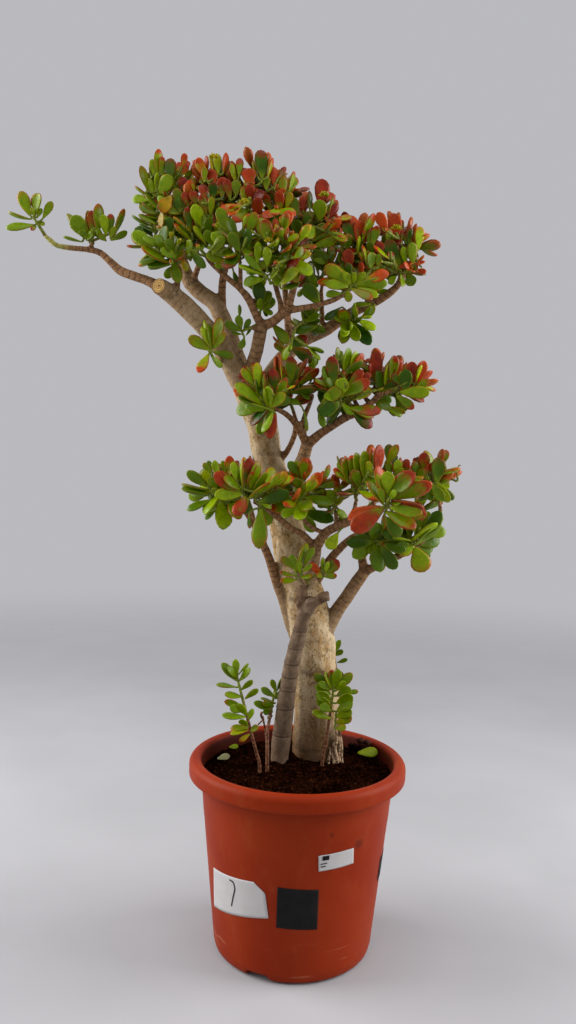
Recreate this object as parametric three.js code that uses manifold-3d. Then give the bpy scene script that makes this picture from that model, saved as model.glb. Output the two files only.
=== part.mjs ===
// Jade plant (Crassula ovata) grown as a small tree, in a round plastic nursery pot.
// Millimetres, +Z up. The origin is the middle of the pot's underside, on the surface it stands on.
// +X is to the right and -Y towards the front of the plant.
import * as THREE from 'three';
import { mergeVertices } from 'three/addons/utils/BufferGeometryUtils.js';
import Module from 'manifold-3d';

const wasm = await Module();
wasm.setup();

// ---------------------------------------------------------------- driving dimensions

const FIT_GAP = 0.3; // between pieces that touch

const POT_HEIGHT = 284;
const POT_SIDES = 32;
const RIM_RADIUS = 159;
const LIP_DROP = 24; // height of the turned-down lip
const LIP_THICKNESS = 3;
const WALL = 3.2;
const WALL_TOP_RADIUS = 144; // outside of the wall, where the lip turns out
const WALL_FOOT_RADIUS = 117;
const WALL_FOOT_HEIGHT = 14;
const FOOT_RADIUS = 108;
const FOOT_RING = 10; // width of the ring that the pot stands on
const CENTRE_PAD_RADIUS = 24; // flat pad in the middle of the underside
const FLOOR_RISE = 8; // underside of the floor above the surface
const FLOOR_TOP = 11.5;
const NOTCH_WIDTH = 34;
const NOTCH_HEIGHT = 10;
const NOTCH_COUNT = 3;
const NOTCH_START = 246; // degrees from +X to the notch at the front left
const DRAIN_RADIUS = 5;
const DRAIN_CIRCLE = 72;

const SOIL_HEIGHT = 262; // at the pot's wall
const SOIL_MOUND = 6; // rise of the soil towards the trunk

const LABEL_THICKNESS = 0.6;

const STALK_RADIUS = 3.8; // most of a woody stalk where it leaves its limb
const NEARLY_STRAIGHT = 0.8; // cosine between a stalk's chord and its end
const SHOOT_RADIUS = 2.6; // green stem where it meets the stalk
const SIDE_SHOOT_RADIUS = 2.2; // the further shoots of a spray
const SIDE_SHOOT_START = 3.5; // from the end of the stalk
const SHOOT_TIP_RADIUS = 1.9;
const SHOOT_SIDES = 3;
const ROOT_SINK = 0.9; // how far a leaf's root lies back along its stem
const LEAF_WIDTH = 0.52; // of the leaf's length
const LEAF_THICKNESS = 0.13;
const OLD_LEAF_WIDTH = 0.46;
const OLD_LEAF_THICKNESS = 0.12;
const LEAF_CAMBER = 0.1; // rise of the tip over the length
const LEAF_WIDEST = 0.66; // how far along a leaf is widest
const BIG_LEAF = 48; // from this length on a leaf has one more ring

// ---------------------------------------------------------------- the plant's plan

// Limbs: points [x, y, z, radius] from the root of each to its end.
const LIMBS = {
  trunk: [[31, 66, 232, 39.5], [31, 66, 276, 39.5], [28, 64, 296, 36.5], [26, 62, 352, 34.5],
    [20, 58, 415, 33.5], [11, 54, 477, 32.5], [-2, 50, 524, 30], [-15, 46, 569, 28.5],
    [-25, 42, 615, 26], [-37, 38, 660, 24.5], [-50, 34, 697, 23], [-60, 30, 733, 22],
    [-68, 27, 770, 22], [-79, 24, 798, 23.5], [-93, 20, 822, 20.5]],
  left_limb: [[-86, 18, 812, 19], [-104, 10, 840, 16.5], [-126, 0, 877, 15.5], [-151, -10, 905, 14],
    [-172, -15, 926, 14], [-190, -20, 941, 13.5], [-207, -25, 953, 12.5]],
  left_arm: [[-202, -25, 950, 10], [-229, -20, 964, 7], [-251, -15, 972, 6.5], [-273, -10, 980, 6.5],
    [-285, -10, 990, 5.5], [-302, -10, 1004, 4.5], [-319, -10, 1008, 4], [-344, -15, 1009, 4],
    [-361, -20, 1011, 3.5], [-372, -22, 1019, 3.5]],
  mid_limb: [[-90, 24, 823, 16], [-108, 30, 863, 14], [-121, 36, 900, 13], [-134, 40, 929, 12.5],
    [-146, 42, 948, 12], [-166, 45, 962, 11.5], [-182, 48, 978, 11], [-191, 52, 998, 9],
    [-198, 55, 1021, 6]],
  third_limb: [[-85, 22, 811, 13], [-85, 8, 845, 10.5], [-77, -5, 875, 9], [-73, -12, 896, 9],
    [-70, -15, 908, 8.5]],
  third_left: [[-70, -15, 908, 7], [-82, -20, 929, 5.5], [-89, -25, 943, 5.5], [-101, -30, 956, 4.5],
    [-122, -40, 972, 4], [-138, -45, 985, 3.5]],
  third_right: [[-70, -15, 908, 7.5], [-56, -20, 913, 7], [-43, -25, 923, 6.5], [-35, -28, 929, 6.5]],
  crown_right: [[-35, -28, 929, 6], [-29, -32, 950, 5], [-20, -38, 986, 4.5], [-13, -40, 1010, 4],
    [-11, -38, 1029, 3.5]],
  crown_reach: [[-35, -28, 929, 5], [-14, -32, 932, 4.5], [10, -38, 937, 4], [31, -42, 944, 4],
    [45, -48, 954, 3.5], [53, -55, 963, 3.5]],
  crown_mid: [[-43, -25, 923, 5], [-45, -20, 940, 4], [-50, -15, 956, 4], [-62, -5, 999, 3.5],
    [-72, 0, 1033, 3]],
  crown_back: [[-132, 40, 925, 7], [-133, 42, 951, 6], [-133, 45, 980, 5.5], [-127, 50, 1013, 4.5],
    [-122, 52, 1040, 3.5]],
  crown_far: [[-32, 52, 875, 6.5], [-34, 60, 912, 6], [-40, 66, 957, 5], [-44, 70, 1002, 4],
    [-47, 70, 1039, 3.5]],
  left_twig: [[-189, -18, 946, 5.5], [-191, -20, 959, 4.5], [-187, -20, 982, 3.5]],
  mid_twig: [[-178, 47, 975, 6], [-172, 38, 988, 4.5], [-165, 28, 1002, 4]],
  right_limb: [[-81, 30, 806, 14.5], [-59, 45, 841, 13.5], [-37, 52, 875, 12], [-14, 50, 896, 10.5],
    [20, 45, 912, 9], [41, 38, 926, 8], [62, 30, 939, 7.5], [83, 20, 948, 7], [103, 10, 958, 6],
    [118, 0, 970, 5], [126, -6, 984, 4.5], [130, -10, 999, 4]],
  right_twig: [[15, 44, 910, 4.5], [14, 38, 937, 4], [12, 32, 965, 3.5]],
  mid_stalk: [[-40, 38, 669, 13.5], [-22, 25, 690, 11], [-8, 10, 718, 10], [-1, 0, 743, 9]],
  mid_right: [[-1, 0, 743, 7.5], [17, -8, 759, 6.5], [38, -15, 774, 6], [53, -18, 784, 6],
    [72, -20, 794, 5], [87, -22, 804, 4.5], [99, -25, 816, 4]],
  mid_left: [[-1, 0, 743, 7], [-10, -8, 759, 5.5], [-19, -18, 773, 5], [-32, -30, 785, 4],
    [-44, -42, 791, 3.5]],
  mid_up: [[-6, -4, 752, 4.5], [-7, 5, 778, 4], [0, 12, 800, 3.5], [5, 16, 815, 3]],
  thin_dark: [[-40, 30, 719, 5.5], [-29, 20, 734, 4.5], [-20, 12, 756, 4], [-18, 6, 775, 4]],
  low_left: [[-24, 48, 503, 11.5], [-41, 37, 541, 8], [-52, 25, 574, 6.5], [-63, 15, 600, 6],
    [-74, 5, 624, 5], [-85, -12, 643, 4.5], [-94, -22, 652, 4]],
  low_fork: [[0, 42, 522, 14.5], [11, 17, 565, 12], [15, -2, 594, 10]],
  low_cross: [[15, -3, 593, 6.5], [-1, -20, 614, 5], [-20, -32, 625, 4.5], [-37, -42, 639, 4.5],
    [-52, -52, 651, 4], [-66, -62, 660, 3.5]],
  low_mid: [[14, -3, 591, 8], [29, -22, 618, 7], [43, -38, 629, 6.5], [62, -58, 640, 6],
    [82, -82, 652, 5], [99, -100, 661, 4.5]],
  low_back: [[16, 45, 533, 8], [36, 38, 569, 6.5], [53, 34, 591, 6], [70, 30, 607, 5.5],
    [87, 24, 616, 4.5]],
  big_right: [[31, 54, 453, 15], [51, 48, 492, 11], [66, 42, 517, 10], [80, 36, 541, 9.5],
    [90, 32, 557, 9]],
  back_riser: [[90, 32, 557, 7.5], [86, 36, 580, 6.5], [86, 42, 599, 5.5], [90, 50, 625, 4.5]],
  low_reach: [[90, 32, 557, 7.5], [110, 25, 569, 6], [135, 15, 583, 5.5], [156, 5, 598, 5],
    [175, -5, 616, 4.5], [189, -10, 636, 4], [192, -14, 655, 3.5]],
  cut_stub: [[-200, -22, 950, 12], [-208, -34, 953, 12], [-213, -45, 955, 11]],
};

// The second stem, which stands in front of the trunk and was cut off at a knob.
const FRONT_LIMBS = {
  front_stem: [[-27, 30, 232, 15], [-27, 30, 276, 15], [-23, 26, 322, 14], [-19, 21, 370, 13],
    [-13, 14, 417, 12], [-5, 4, 460, 11], [3, -8, 498, 9.5]],
  knob: [[1, -8, 495, 10], [8, -14, 511, 11], [22, -18, 521, 8.5], [35, -20, 528, 8]],
  knob_up: [[2, -10, 501, 8.5], [-2, -13, 522, 8], [0, -15, 538, 6]],
};

// Leafy sprays: [name, limb, point of the limb, end of the stalk, shoots, old leaves].
// A shoot is [x, y, z of its tip, pairs of leaves, leaf length, turn of the first pair].
// An old leaf is [shoot, how far along it, x, y, z of the leaf's tip].
const SPRAYS = [
  ['far_left_tip', 'left_arm', 9, [-378, -23, 1025], [[-391, -27, 1045, 2, 39, 20]], []],
  ['far_left_row', 'left_arm', 6, [-313, -12, 1017], [[-330, -4, 1029, 2, 38, 70],
    [-306, -22, 1032, 2, 34, 20], [-292, -12, 1029, 2, 33, 10]], []],
  ['crown_left_tall', 'mid_limb', 8, [-211, 20, 1014], [[-228, 0, 1115, 4, 36, 5],
    [-203, 24, 1107, 2, 38, 90]], []],
  ['crown_left_low', 'left_twig', 2, [-193, -27, 991], [[-215, -50, 1006, 4, 43, 15],
    [-191, -75, 982, 2, 36, 60]], []],
  ['crown_left_mid', 'mid_twig', 2, [-167, 8, 1014], [[-183, -30, 1040, 4, 35, 40],
    [-154, -35, 1038, 2, 35, 0], [-176, -12, 1076, 2, 36, 75]], []],
  ['crown_left_back', 'mid_limb', 8, [-207, 72, 1045], [[-234, 90, 1096, 2, 35, 20],
    [-196, 80, 1118, 2, 35, 50]], []],
  ['crown_front_left', 'third_left', 5, [-146, -52, 994], [[-153, -82, 1000, 2, 34, 30],
    [-126, -92, 1009, 3, 37, 70]], []],
  ['crown_top_left', 'crown_back', 4, [-143, 10, 1072], [[-157, 0, 1118, 2, 35, 5],
    [-154, -48, 1067, 3, 36, 40]], []],
  ['crown_top_mid', 'crown_mid', 4, [-92, -10, 1063], [[-108, -15, 1109, 2, 34, 30],
    [-89, -62, 1072, 3, 36, 85], [-77, 5, 1123, 2, 40, 80]], []],
  ['crown_top_right', 'crown_mid', 4, [-56, 5, 1065], [[-48, 22, 1111, 2, 36, 10],
    [-54, -52, 1062, 3, 36, 80]], []],
  ['crown_top_far_right', 'crown_right', 4, [-10, -28, 1045], [[-25, -2, 1071, 3, 36, 30],
    [6, -20, 1077, 2, 40, 85], [30, -48, 1029, 3, 35, 0]], []],
  ['crown_front_mid', 'third_left', 3, [-101, -50, 989], [[-116, -77, 1033, 2, 37, 20],
    [-89, -95, 1012, 3, 38, 60]], []],
  ['crown_front_right', 'crown_mid', 3, [-42, -48, 991], [[-63, -88, 1021, 3, 38, 30],
    [-34, -72, 1018, 3, 38, 85], [-26, -96, 988, 3, 37, 60]], []],
  ['crown_back_left', 'crown_back', 4, [-130, 70, 1066], [[-151, 90, 1107, 2, 35, 0],
    [-110, 85, 1118, 2, 35, 50]], []],
  ['crown_back_right', 'crown_far', 4, [-45, 78, 1059], [[-68, 92, 1109, 2, 35, 20],
    [-26, 88, 1098, 2, 35, 60]], []],
  ['crown_back_far', 'crown_far', 3, [-14, 80, 1042], [[10, 82, 1072, 2, 34, 0],
    [35, 65, 1047, 3, 34, 50]], []],
  ['right_crown_rosette', 'crown_reach', 5, [54, -58, 966], [[52, -70, 976, 3, 47, 0]], []],
  ['right_crown_top', 'right_limb', 7, [63, 8, 1013], [[48, 0, 1042, 2, 37, 40],
    [71, -25, 1011, 3, 35, 80]], []],
  ['right_crown_end', 'right_limb', 11, [126, -12, 1014], [[113, -22, 1040, 2, 39, 85],
    [136, -2, 1033, 2, 38, 20]], []],
  ['right_crown_low', 'right_limb', 9, [120, -14, 986], [[92, -30, 994, 3, 36, 30],
    [109, -32, 1001, 3, 32, 80], [138, -26, 985, 2, 24, 40]], []],
  ['right_crown_inner', 'right_twig', 2, [11, 28, 982], [[18, 15, 999, 2, 36, 20],
    [-6, 35, 988, 2, 30, 60]], []],
  ['right_crown_back', 'right_limb', 7, [86, 50, 999], [[106, 60, 1033, 2, 34, 50]], []],
  ['under_right', 'right_limb', 6, [56, 10, 923], [[53, -4, 916, 2, 34, 25]], [[0, 0.3, 43, 4, 888],
    [0, 0.2, 84, 2, 886], [0, 0.5, 71, -12, 918]]],
  ['under_middle', 'third_right', 3, [-25, -24, 905], [[-7, -5, 922, 3, 34, 60],
    [-28, -34, 881, 2, 34, 15]], []],
  ['under_left', 'third_limb', 3, [-86, -22, 904], [[-95, -26, 900, 2, 28, 45]], []],
  ['elbow', 'left_limb', 2, [-133, -24, 855], [[-141, -46, 869, 3, 38, 20]],
    [[0, 0.1, -154, -40, 834]]],
  ['under_crown', 'third_left', 2, [-72, -10, 949], [[-72, -15, 958, 2, 34, 70]], []],
  ['middle_left_front', 'mid_left', 4, [-50, -50, 795], [[-65, -64, 802, 3, 48, 70],
    [-49, -74, 810, 3, 38, 20]], [[0, 0.05, -54, -58, 751]]],
  ['middle_left_top', 'thin_dark', 3, [-23, -3, 792], [[-36, -25, 824, 3, 38, 30]], []],
  ['middle_left_back', 'mid_up', 3, [-14, 34, 820], [[-44, 48, 837, 3, 34, 0]], []],
  ['middle_right_top', 'mid_right', 4, [61, 2, 818], [[50, 15, 851, 2, 34, 30]], []],
  ['middle_right_front', 'mid_right', 3, [57, -28, 802], [[32, -40, 825, 3, 44, 10],
    [48, -64, 829, 3, 38, 80], [74, -58, 818, 2, 43, 5]], [[0, 0.2, 11, -45, 787],
    [2, 0.2, 96, -62, 785]]],
  ['middle_right_mid', 'mid_right', 5, [102, -14, 829], [[97, -10, 855, 2, 37, 85],
    [124, 12, 851, 2, 36, 10]], []],
  ['middle_right_end', 'mid_right', 6, [114, -30, 822], [[135, -38, 834, 4, 46, 10]],
    [[0, 0.2, 147, -40, 794], [0, 0.15, 110, -34, 789]]],
  ['middle_right_back', 'mid_right', 5, [95, 38, 829], [[119, 50, 842, 2, 34, 45]], []],
  ['low_left_inner', 'low_cross', 5, [-70, -68, 664], [[-67, -82, 677, 2, 45, 10],
    [-44, -70, 684, 2, 40, 60]], [[0, 0.3, -61, -76, 600], [1, 0.2, -27, -84, 670]]],
  ['low_left_end', 'low_left', 6, [-102, -32, 665], [[-139, -45, 680, 3, 44, 10],
    [-113, -5, 692, 2, 38, 10]], [[0, 0.3, -115, -45, 620], [0, 0.15, -90, -66, 637]]],
  ['low_left_back', 'low_left', 4, [-87, 20, 662], [[-101, 32, 685, 2, 36, 0]], []],
  ['low_centre', 'low_mid', 1, [-5, -46, 655], [[-14, -80, 668, 3, 42, 15], [-4, -50, 694, 2, 40, 70],
    [22, -30, 689, 2, 36, 20]], [[0, 0.3, 39, -62, 628]]],
  ['low_right_rosette', 'low_mid', 5, [105, -106, 664], [[109, -132, 678, 4, 54, 20]],
    [[0, 0.3, 57, -132, 640], [0, 0.4, 154, -138, 668]]],
  ['low_right_left', 'low_mid', 3, [69, -64, 670], [[59, -60, 705, 2, 42, 10],
    [84, -74, 710, 2, 42, 75]], []],
  ['low_right_top', 'low_mid', 4, [112, -66, 688], [[142, -40, 710, 3, 36, 80]], []],
  ['low_right_end', 'low_reach', 6, [187, -17, 678], [[169, -22, 706, 2, 39, 5],
    [189, 2, 701, 2, 38, 80]], []],
  ['low_right_low', 'low_reach', 3, [160, 2, 613], [[162, -28, 631, 2, 47, 10],
    [163, 42, 669, 2, 38, 20]], [[0, 0.5, 186, -34, 567], [0, 0.5, 192, -20, 651]]],
  ['low_right_under', 'low_back', 4, [100, 12, 612], [[108, -10, 608, 3, 42, 30]],
    [[0, 0.1, 111, 6, 561], [0, 0.4, 137, -2, 562]]],
  ['low_right_inner', 'low_mid', 2, [41, -48, 652], [[34, -52, 675, 2, 34, 30]], []],
  ['low_right_back', 'back_riser', 3, [92, 56, 651], [[119, 62, 678, 2, 38, 50]], []],
  ['knob_tufts', 'knob_up', 2, [7, -20, 545], [[-10, -24, 567, 2, 30, 10], [32, -26, 570, 3, 24, 20]],
    []],
];

// Suckers: [name, path of the woody foot, shoots, old leaves], standing in the soil by themselves.
const SUCKERS = [
  ['sucker_left', [[-55, -21, 232], [-55, -21, 276], [-60, -22, 294]], [[-90, -26, 403, 6, 32, 20]], []],
  ['sucker_middle', [[-44, -8, 232], [-44, -8, 276], [-46, 4, 318]], [[-38, 34, 371, 4, 25, 15]], []],
  ['sucker_right', [[37, 9, 232], [37, 9, 276], [41, 8, 300]], [[50, 2, 390, 5, 29, 0]], []],
];

// Fallen leaves flat on the soil: [name, [x, y, z of the root], heading, length, width, thickness].
const FALLEN = [
  ['leaf_fallen_green', [88, 60, 265.9], 10, 30, 16, 4],
  ['leaf_fallen_pale', [-121, 24, 263.35], 38, 22, 11, 2.4],
];

// Places that a leaf tries in turn: [degrees away from the stem, degrees round it, share of its length].
const PLACES = [
  [0, 0, 1], [-9, 0, 1], [9, 0, 1], [0, 10, 1], [0, -10, 1], [-18, 0, 1], [18, 0, 1],
  [-9, 12, 0.95], [9, -12, 0.95], [-9, -12, 0.95], [9, 12, 0.95], [0, 0, 0.85], [-15, 0, 0.85],
  [15, 0, 0.85], [0, 18, 0.85], [0, -18, 0.85], [0, 0, 0.72], [-12, 12, 0.72], [12, -12, 0.72],
];
const WOOD_ROOM = 3; // least distance from a leaf to wood
const STEM_ROOM = 2.8; // to another spray's green stem
const OWN_STEM_ROOM = 1.5; // from the outer half of a leaf to its own spray's stems
const OTHER_LEAF_ROOM = [1.5, 2.8]; // beside and above a leaf of another spray
const OWN_LEAF_ROOM = [0.8, 1.4];
const SOIL_ROOM = 10;

// ---------------------------------------------------------------- helpers

const X = new THREE.Vector3(1, 0, 0);
const Z = new THREE.Vector3(0, 0, 1);
const point = (row) => new THREE.Vector3(row[0], row[1], row[2]);
const shifted = (from, direction, distance) => from.clone().addScaledVector(direction, distance);
const mix = (a, b, share) => a + (b - a) * share;

/** The part of a vector that is square to a direction, one unit long. */
function squareTo(direction, vector) {
  return shifted(vector, direction, -vector.dot(direction)).normalize();
}

function heading(from, to) {
  return to.clone().sub(from).normalize();
}

/** A point of the quadratic curve through a and c that leaves and arrives towards b. */
function onCurve([a, b, c], t) {
  return a.clone().multiplyScalar((1 - t) * (1 - t))
    .addScaledVector(b, 2 * t * (1 - t))
    .addScaledVector(c, t * t);
}

/** Points [x, y, z, radius] along a curve, tapering evenly. */
function tapered(curve, steps, radius, endRadius) {
  return Array.from({ length: steps + 1 }, (_, i) => {
    const t = i / steps;
    return [...onCurve(curve, t).toArray(), mix(radius, endRadius, t)];
  });
}

/** Repeatable scatter, so that the plant always grows the same. */
function makeDraw(seed) {
  let state = seed;
  return (reach) => {
    state = (Math.imul(state, 1664525) + 1013904223) >>> 0;
    return (2 * (state / 4294967296) - 1) * reach;
  };
}

// ---------------------------------------------------------------- solids

/** A closed solid from a three.js shape. */
function solid(shape) {
  shape.deleteAttribute('normal');
  shape.deleteAttribute('uv');
  const merged = mergeVertices(shape, 1e-4);
  const corners = merged.index.array;
  const faces = [];
  for (let i = 0; i < corners.length; i += 3) {
    const [a, b, c] = [corners[i], corners[i + 1], corners[i + 2]];
    if (a !== b && b !== c && c !== a) {
      faces.push(a, b, c);
    }
  }
  return new wasm.Manifold(new wasm.Mesh({
    numProp: 3,
    vertProperties: new Float32Array(merged.attributes.position.array),
    triVerts: new Uint32Array(faces),
  }));
}

/** Solids joined into one body, without the hollows and scraps that the joining leaves. */
function joined(solids) {
  const parts = solids.reduce((all, next) => all.add(next)).decompose();
  return parts.reduce((most, part) => (part.volume() > most.volume() ? part : most));
}

/** A tapering stem with a ring of corners at each point [x, y, z, radius] of its path. */
function stem(path, sides, startHeading, endHeading) {
  const last = path.length - 1;
  let normal = X;
  const rings = path.map((row, i) => {
    let direction = heading(point(path[Math.max(i - 1, 0)]), point(path[Math.min(i + 1, last)]));
    if (i === 0 && startHeading) {
      direction = startHeading;
    }
    if (i === last && endHeading) {
      direction = endHeading;
    }
    if (i === 0 && Math.abs(direction.x) > 0.9) {
      normal = Z;
    }
    normal = squareTo(direction, normal);
    return { middle: point(row), radius: row[3], normal, side: normal.clone().cross(direction) };
  });
  const shape = new THREE.CylinderGeometry(1, 1, 1, sides, last);
  const corner = shape.attributes.position;
  for (let i = 0; i < corner.count; i += 1) {
    const ring = rings[Math.round((corner.getY(i) + 0.5) * last)];
    const place = shifted(ring.middle, ring.normal, corner.getX(i) * ring.radius)
      .addScaledVector(ring.side, corner.getZ(i) * ring.radius);
    corner.setXYZ(i, place.x, place.y, place.z);
  }
  return solid(shape);
}

/** Half of a leaf's width, as a share of its greatest, at a share s of its length. */
function leafOutline(s) {
  if (s < LEAF_WIDEST) {
    return 0.2 + 0.8 * Math.sin((Math.PI / 2) * (s / LEAF_WIDEST)) ** 1.3;
  }
  return Math.sqrt(Math.max(0, 1 - ((s - LEAF_WIDEST) / (1 - LEAF_WIDEST)) ** 2));
}

/** A thick leaf, flat above and keeled below, widest past its middle, with both ends drawn to a point. */
function leafSolid({ root, along, normal, length, width, thickness }) {
  const shares = length > BIG_LEAF ? [0, 0.38, 0.7, 0.93, 1] : [0, 0.5, 0.86, 1];
  const last = shares.length - 1;
  const across = along.clone().cross(normal);
  const shape = new THREE.SphereGeometry(1, 3, last, Math.PI / 6);
  const corner = shape.attributes.position;
  for (let i = 0; i < corner.count; i += 1) {
    const polar = Math.acos(THREE.MathUtils.clamp(corner.getY(i), -1, 1));
    const s = shares[last - Math.round((polar / Math.PI) * last)];
    const full = s === 0 || s === 1 ? 0 : leafOutline(s) / Math.sin(polar);
    const sideways = (corner.getX(i) * full * width) / Math.sqrt(3);
    const rise = corner.getZ(i) * full * thickness * (corner.getZ(i) > 0 ? 0.7 : 0.65);
    const place = shifted(root, along, s * length)
      .addScaledVector(across, sideways)
      .addScaledVector(normal, LEAF_CAMBER * length * s * s + rise);
    corner.setXYZ(i, place.x, place.y, place.z);
  }
  return solid(shape);
}

// ---------------------------------------------------------------- growing the leaves

/** A leaf with the points at which it is tested against what is near it. */
function makeLeaf(root, along, normal, length, width, thickness) {
  const across = along.clone().cross(normal);
  const probes = [];
  for (const s of [0.3, 0.5, 0.7, 0.86, 0.98]) {
    for (const side of [-0.75, 0, 0.75]) {
      probes.push(shifted(root, along, s * length)
        .addScaledVector(across, (side * leafOutline(s) * width) / 2)
        .addScaledVector(normal, LEAF_CAMBER * length * s * s));
    }
  }
  const middle = shifted(root, along, 0.55 * length);
  return { root, along, normal, across, length, width, thickness, probes, middle };
}

/** Whether a leaf comes closer to another than the room given beside and above that one. */
function crowds(leaf, other, [beside, above]) {
  return leaf.probes.some((probe) => {
    const offset = probe.clone().sub(other.root);
    const x = offset.dot(other.along) / other.length;
    const y = offset.dot(other.across);
    const z = offset.dot(other.normal) - LEAF_CAMBER * other.length * x * x;
    return ((x - 0.56) / (0.46 + beside / other.length)) ** 2
      + (y / (other.width / 2 + beside)) ** 2
      + (z / (other.thickness / 2 + above)) ** 2 < 1;
  });
}

/** Distance from a point to the bark of a piece of stem. */
function toBark(place, { start, end, radius, endRadius }) {
  const axis = end.clone().sub(start);
  const share = THREE.MathUtils.clamp(place.clone().sub(start).dot(axis) / axis.lengthSq(), 0, 1);
  return place.distanceTo(shifted(start, axis, share)) - mix(radius, endRadius, share);
}

function pieces(path, owner) {
  return path.slice(1).map((row, i) => (
    { start: point(path[i]), end: point(row), radius: path[i][3], endRadius: row[3], owner }
  ));
}

/** Whether a leaf stands free of the soil, of all stems and of the leaves grown before it. */
function standsFree(leaf, spray, bark, grown) {
  if (leaf.probes.some((probe) => probe.z < SOIL_HEIGHT + SOIL_ROOM)) {
    return false;
  }
  for (const piece of bark) {
    const own = piece.owner === spray;
    const room = own ? OWN_STEM_ROOM : piece.owner ? STEM_ROOM : WOOD_ROOM;
    const probes = own ? leaf.probes.slice(6) : leaf.probes;
    if (probes.some((probe) => toBark(probe, piece) < room)) {
      return false;
    }
  }
  return !grown.some((other) => {
    const near = (other.length + leaf.length) / 2 + 6;
    const room = other.spray === spray ? OWN_LEAF_ROOM : OTHER_LEAF_ROOM;
    return other.middle.distanceTo(leaf.middle) <= near
      && (crowds(leaf, other, room) || crowds(other, leaf, room));
  });
}

/** One leaf of pair `rank`, counted from the tip, of a shoot. `age` is 0 at the tip and 1 below. */
function budLeaf(shoot, rank, side, scatter, [away, round, share]) {
  const age = rank / Math.max(shoot.pairs - 1, 2);
  const place = shoot.tip.clone().lerp(shoot.start, 0.72 * age ** 0.9);
  const stemward = heading(shoot.start, shoot.tip);
  const east = squareTo(stemward, Math.abs(stemward.x) < 0.9 ? X : Z);
  const north = stemward.clone().cross(east);
  const lean = THREE.MathUtils.degToRad(24 + 56 * age ** 0.7 + scatter.lean + away);
  const turn = THREE.MathUtils.degToRad(shoot.turn + 90 * rank + side + scatter.turn + round);
  const outward = east.clone().multiplyScalar(Math.cos(turn)).addScaledVector(north, Math.sin(turn));
  const along = stemward.clone().multiplyScalar(Math.cos(lean))
    .addScaledVector(outward, Math.sin(lean))
    .addScaledVector(Z, -0.15 * age)
    .normalize();
  const face = stemward.clone().multiplyScalar(Math.sin(lean))
    .addScaledVector(outward, -Math.cos(lean))
    .addScaledVector(Z, 0.35);
  const length = shoot.leaf * (0.82 + 0.18 * Math.min(1, 2.2 * age)) * (1 + scatter.length) * share;
  const root = shifted(place, stemward, -ROOT_SINK).addScaledVector(outward, -ROOT_SINK / 6);
  return makeLeaf(root, along, squareTo(along, face), length, length * LEAF_WIDTH, length * LEAF_THICKNESS);
}

/** The straight green stems of a spray, the first one from a little past the end of the stalk. */
function makeShoots(base, direction, gap, rows) {
  const first = shifted(base, direction, gap);
  return rows.map((row, i) => {
    const start = i === 0 ? first : shifted(first, heading(first, point(rows[0])), SIDE_SHOOT_START);
    const radius = i === 0 ? SHOOT_RADIUS : SIDE_SHOOT_RADIUS;
    const [pairs, leaf, turn] = row.slice(3);
    const path = [[...start.toArray(), radius], [...row.slice(0, 3), SHOOT_TIP_RADIUS]];
    return { path, start, tip: point(row), pairs, leaf, turn };
  });
}

/** From the end of a stalk towards the middle of the tips of its shoots. */
function shootHeading(base, rows) {
  const middle = rows.reduce((sum, row) => sum.add(point(row)), new THREE.Vector3());
  return heading(base, middle.divideScalar(rows.length));
}

/** A spray on a limb, with the woody stalk that carries it. */
function makeSpray([name, limb, at, base, rows, old], path) {
  const end = point(base);
  const direction = shootHeading(end, rows);
  const root = point(path[at]);
  const bend = shifted(end, direction, -0.45 * end.distanceTo(root));
  return {
    name,
    limb,
    isEnd: at === path.length - 1,
    direction,
    stalk: [root, bend, end],
    stalkRadius: Math.min(path[at][3] * 0.85, STALK_RADIUS),
    shoots: makeShoots(end, direction, FIT_GAP, rows),
    old,
  };
}

/** A sucker, whose shoots start a little down its woody foot. */
function makeSucker([name, foot, rows, old]) {
  const end = point(foot.at(-1));
  const direction = shootHeading(end, rows);
  const shoots = makeShoots(end, direction, -SIDE_SHOOT_START, rows);
  return { name, direction, foot: foot.map((row) => [...row, SHOOT_RADIUS]), shoots, old };
}

/** Every spray, and the leaves grown on them so that none touches another spray. */
function growSprays() {
  const wood = { ...LIMBS, ...FRONT_LIMBS };
  const sprays = [...SPRAYS.map((row) => makeSpray(row, wood[row[1]])), ...SUCKERS.map(makeSucker)];
  const bark = Object.values(wood).flatMap((path) => pieces(path));
  for (const spray of sprays) {
    bark.push(...spray.shoots.flatMap(({ path }) => pieces(path, spray)));
    if (spray.foot) {
      bark.push(...pieces(spray.foot, spray));
    } else {
      bark.push(...pieces(tapered(spray.stalk, 4, spray.stalkRadius, SHOOT_RADIUS)));
    }
  }
  const grown = [];
  for (const spray of sprays) {
    for (const [at, t, ...tip] of spray.old) {
      const root = spray.shoots[at].start.clone().lerp(spray.shoots[at].tip, t);
      const along = heading(root, point(tip));
      const length = root.distanceTo(point(tip));
      const normal = squareTo(along, new THREE.Vector3(0, -1, 0.3));
      const leaf = makeLeaf(root, along, normal, length, length * OLD_LEAF_WIDTH,
        length * OLD_LEAF_THICKNESS);
      grown.push({ ...leaf, spray });
    }
  }
  const draw = makeDraw(7);
  for (const spray of sprays) {
    for (const shoot of spray.shoots) {
      for (let rank = 0; rank < shoot.pairs; rank += 1) {
        for (const side of [0, 180]) {
          const scatter = { lean: draw(7), turn: draw(10), length: draw(0.1) };
          const tried = PLACES.map((place) => budLeaf(shoot, rank, side, scatter, place));
          const leaf = tried.find((one) => standsFree(one, spray, bark, grown));
          if (leaf) {
            grown.push({ ...leaf, spray });
          }
        }
      }
    }
  }
  return { sprays, grown };
}

// ---------------------------------------------------------------- the pot and what lies in it

/** Outside radius of the pot's wall at a height. */
function wallRadius(z) {
  const share = (z - WALL_FOOT_HEIGHT) / (POT_HEIGHT - WALL_FOOT_HEIGHT);
  return mix(WALL_FOOT_RADIUS, WALL_TOP_RADIUS, share);
}

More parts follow.
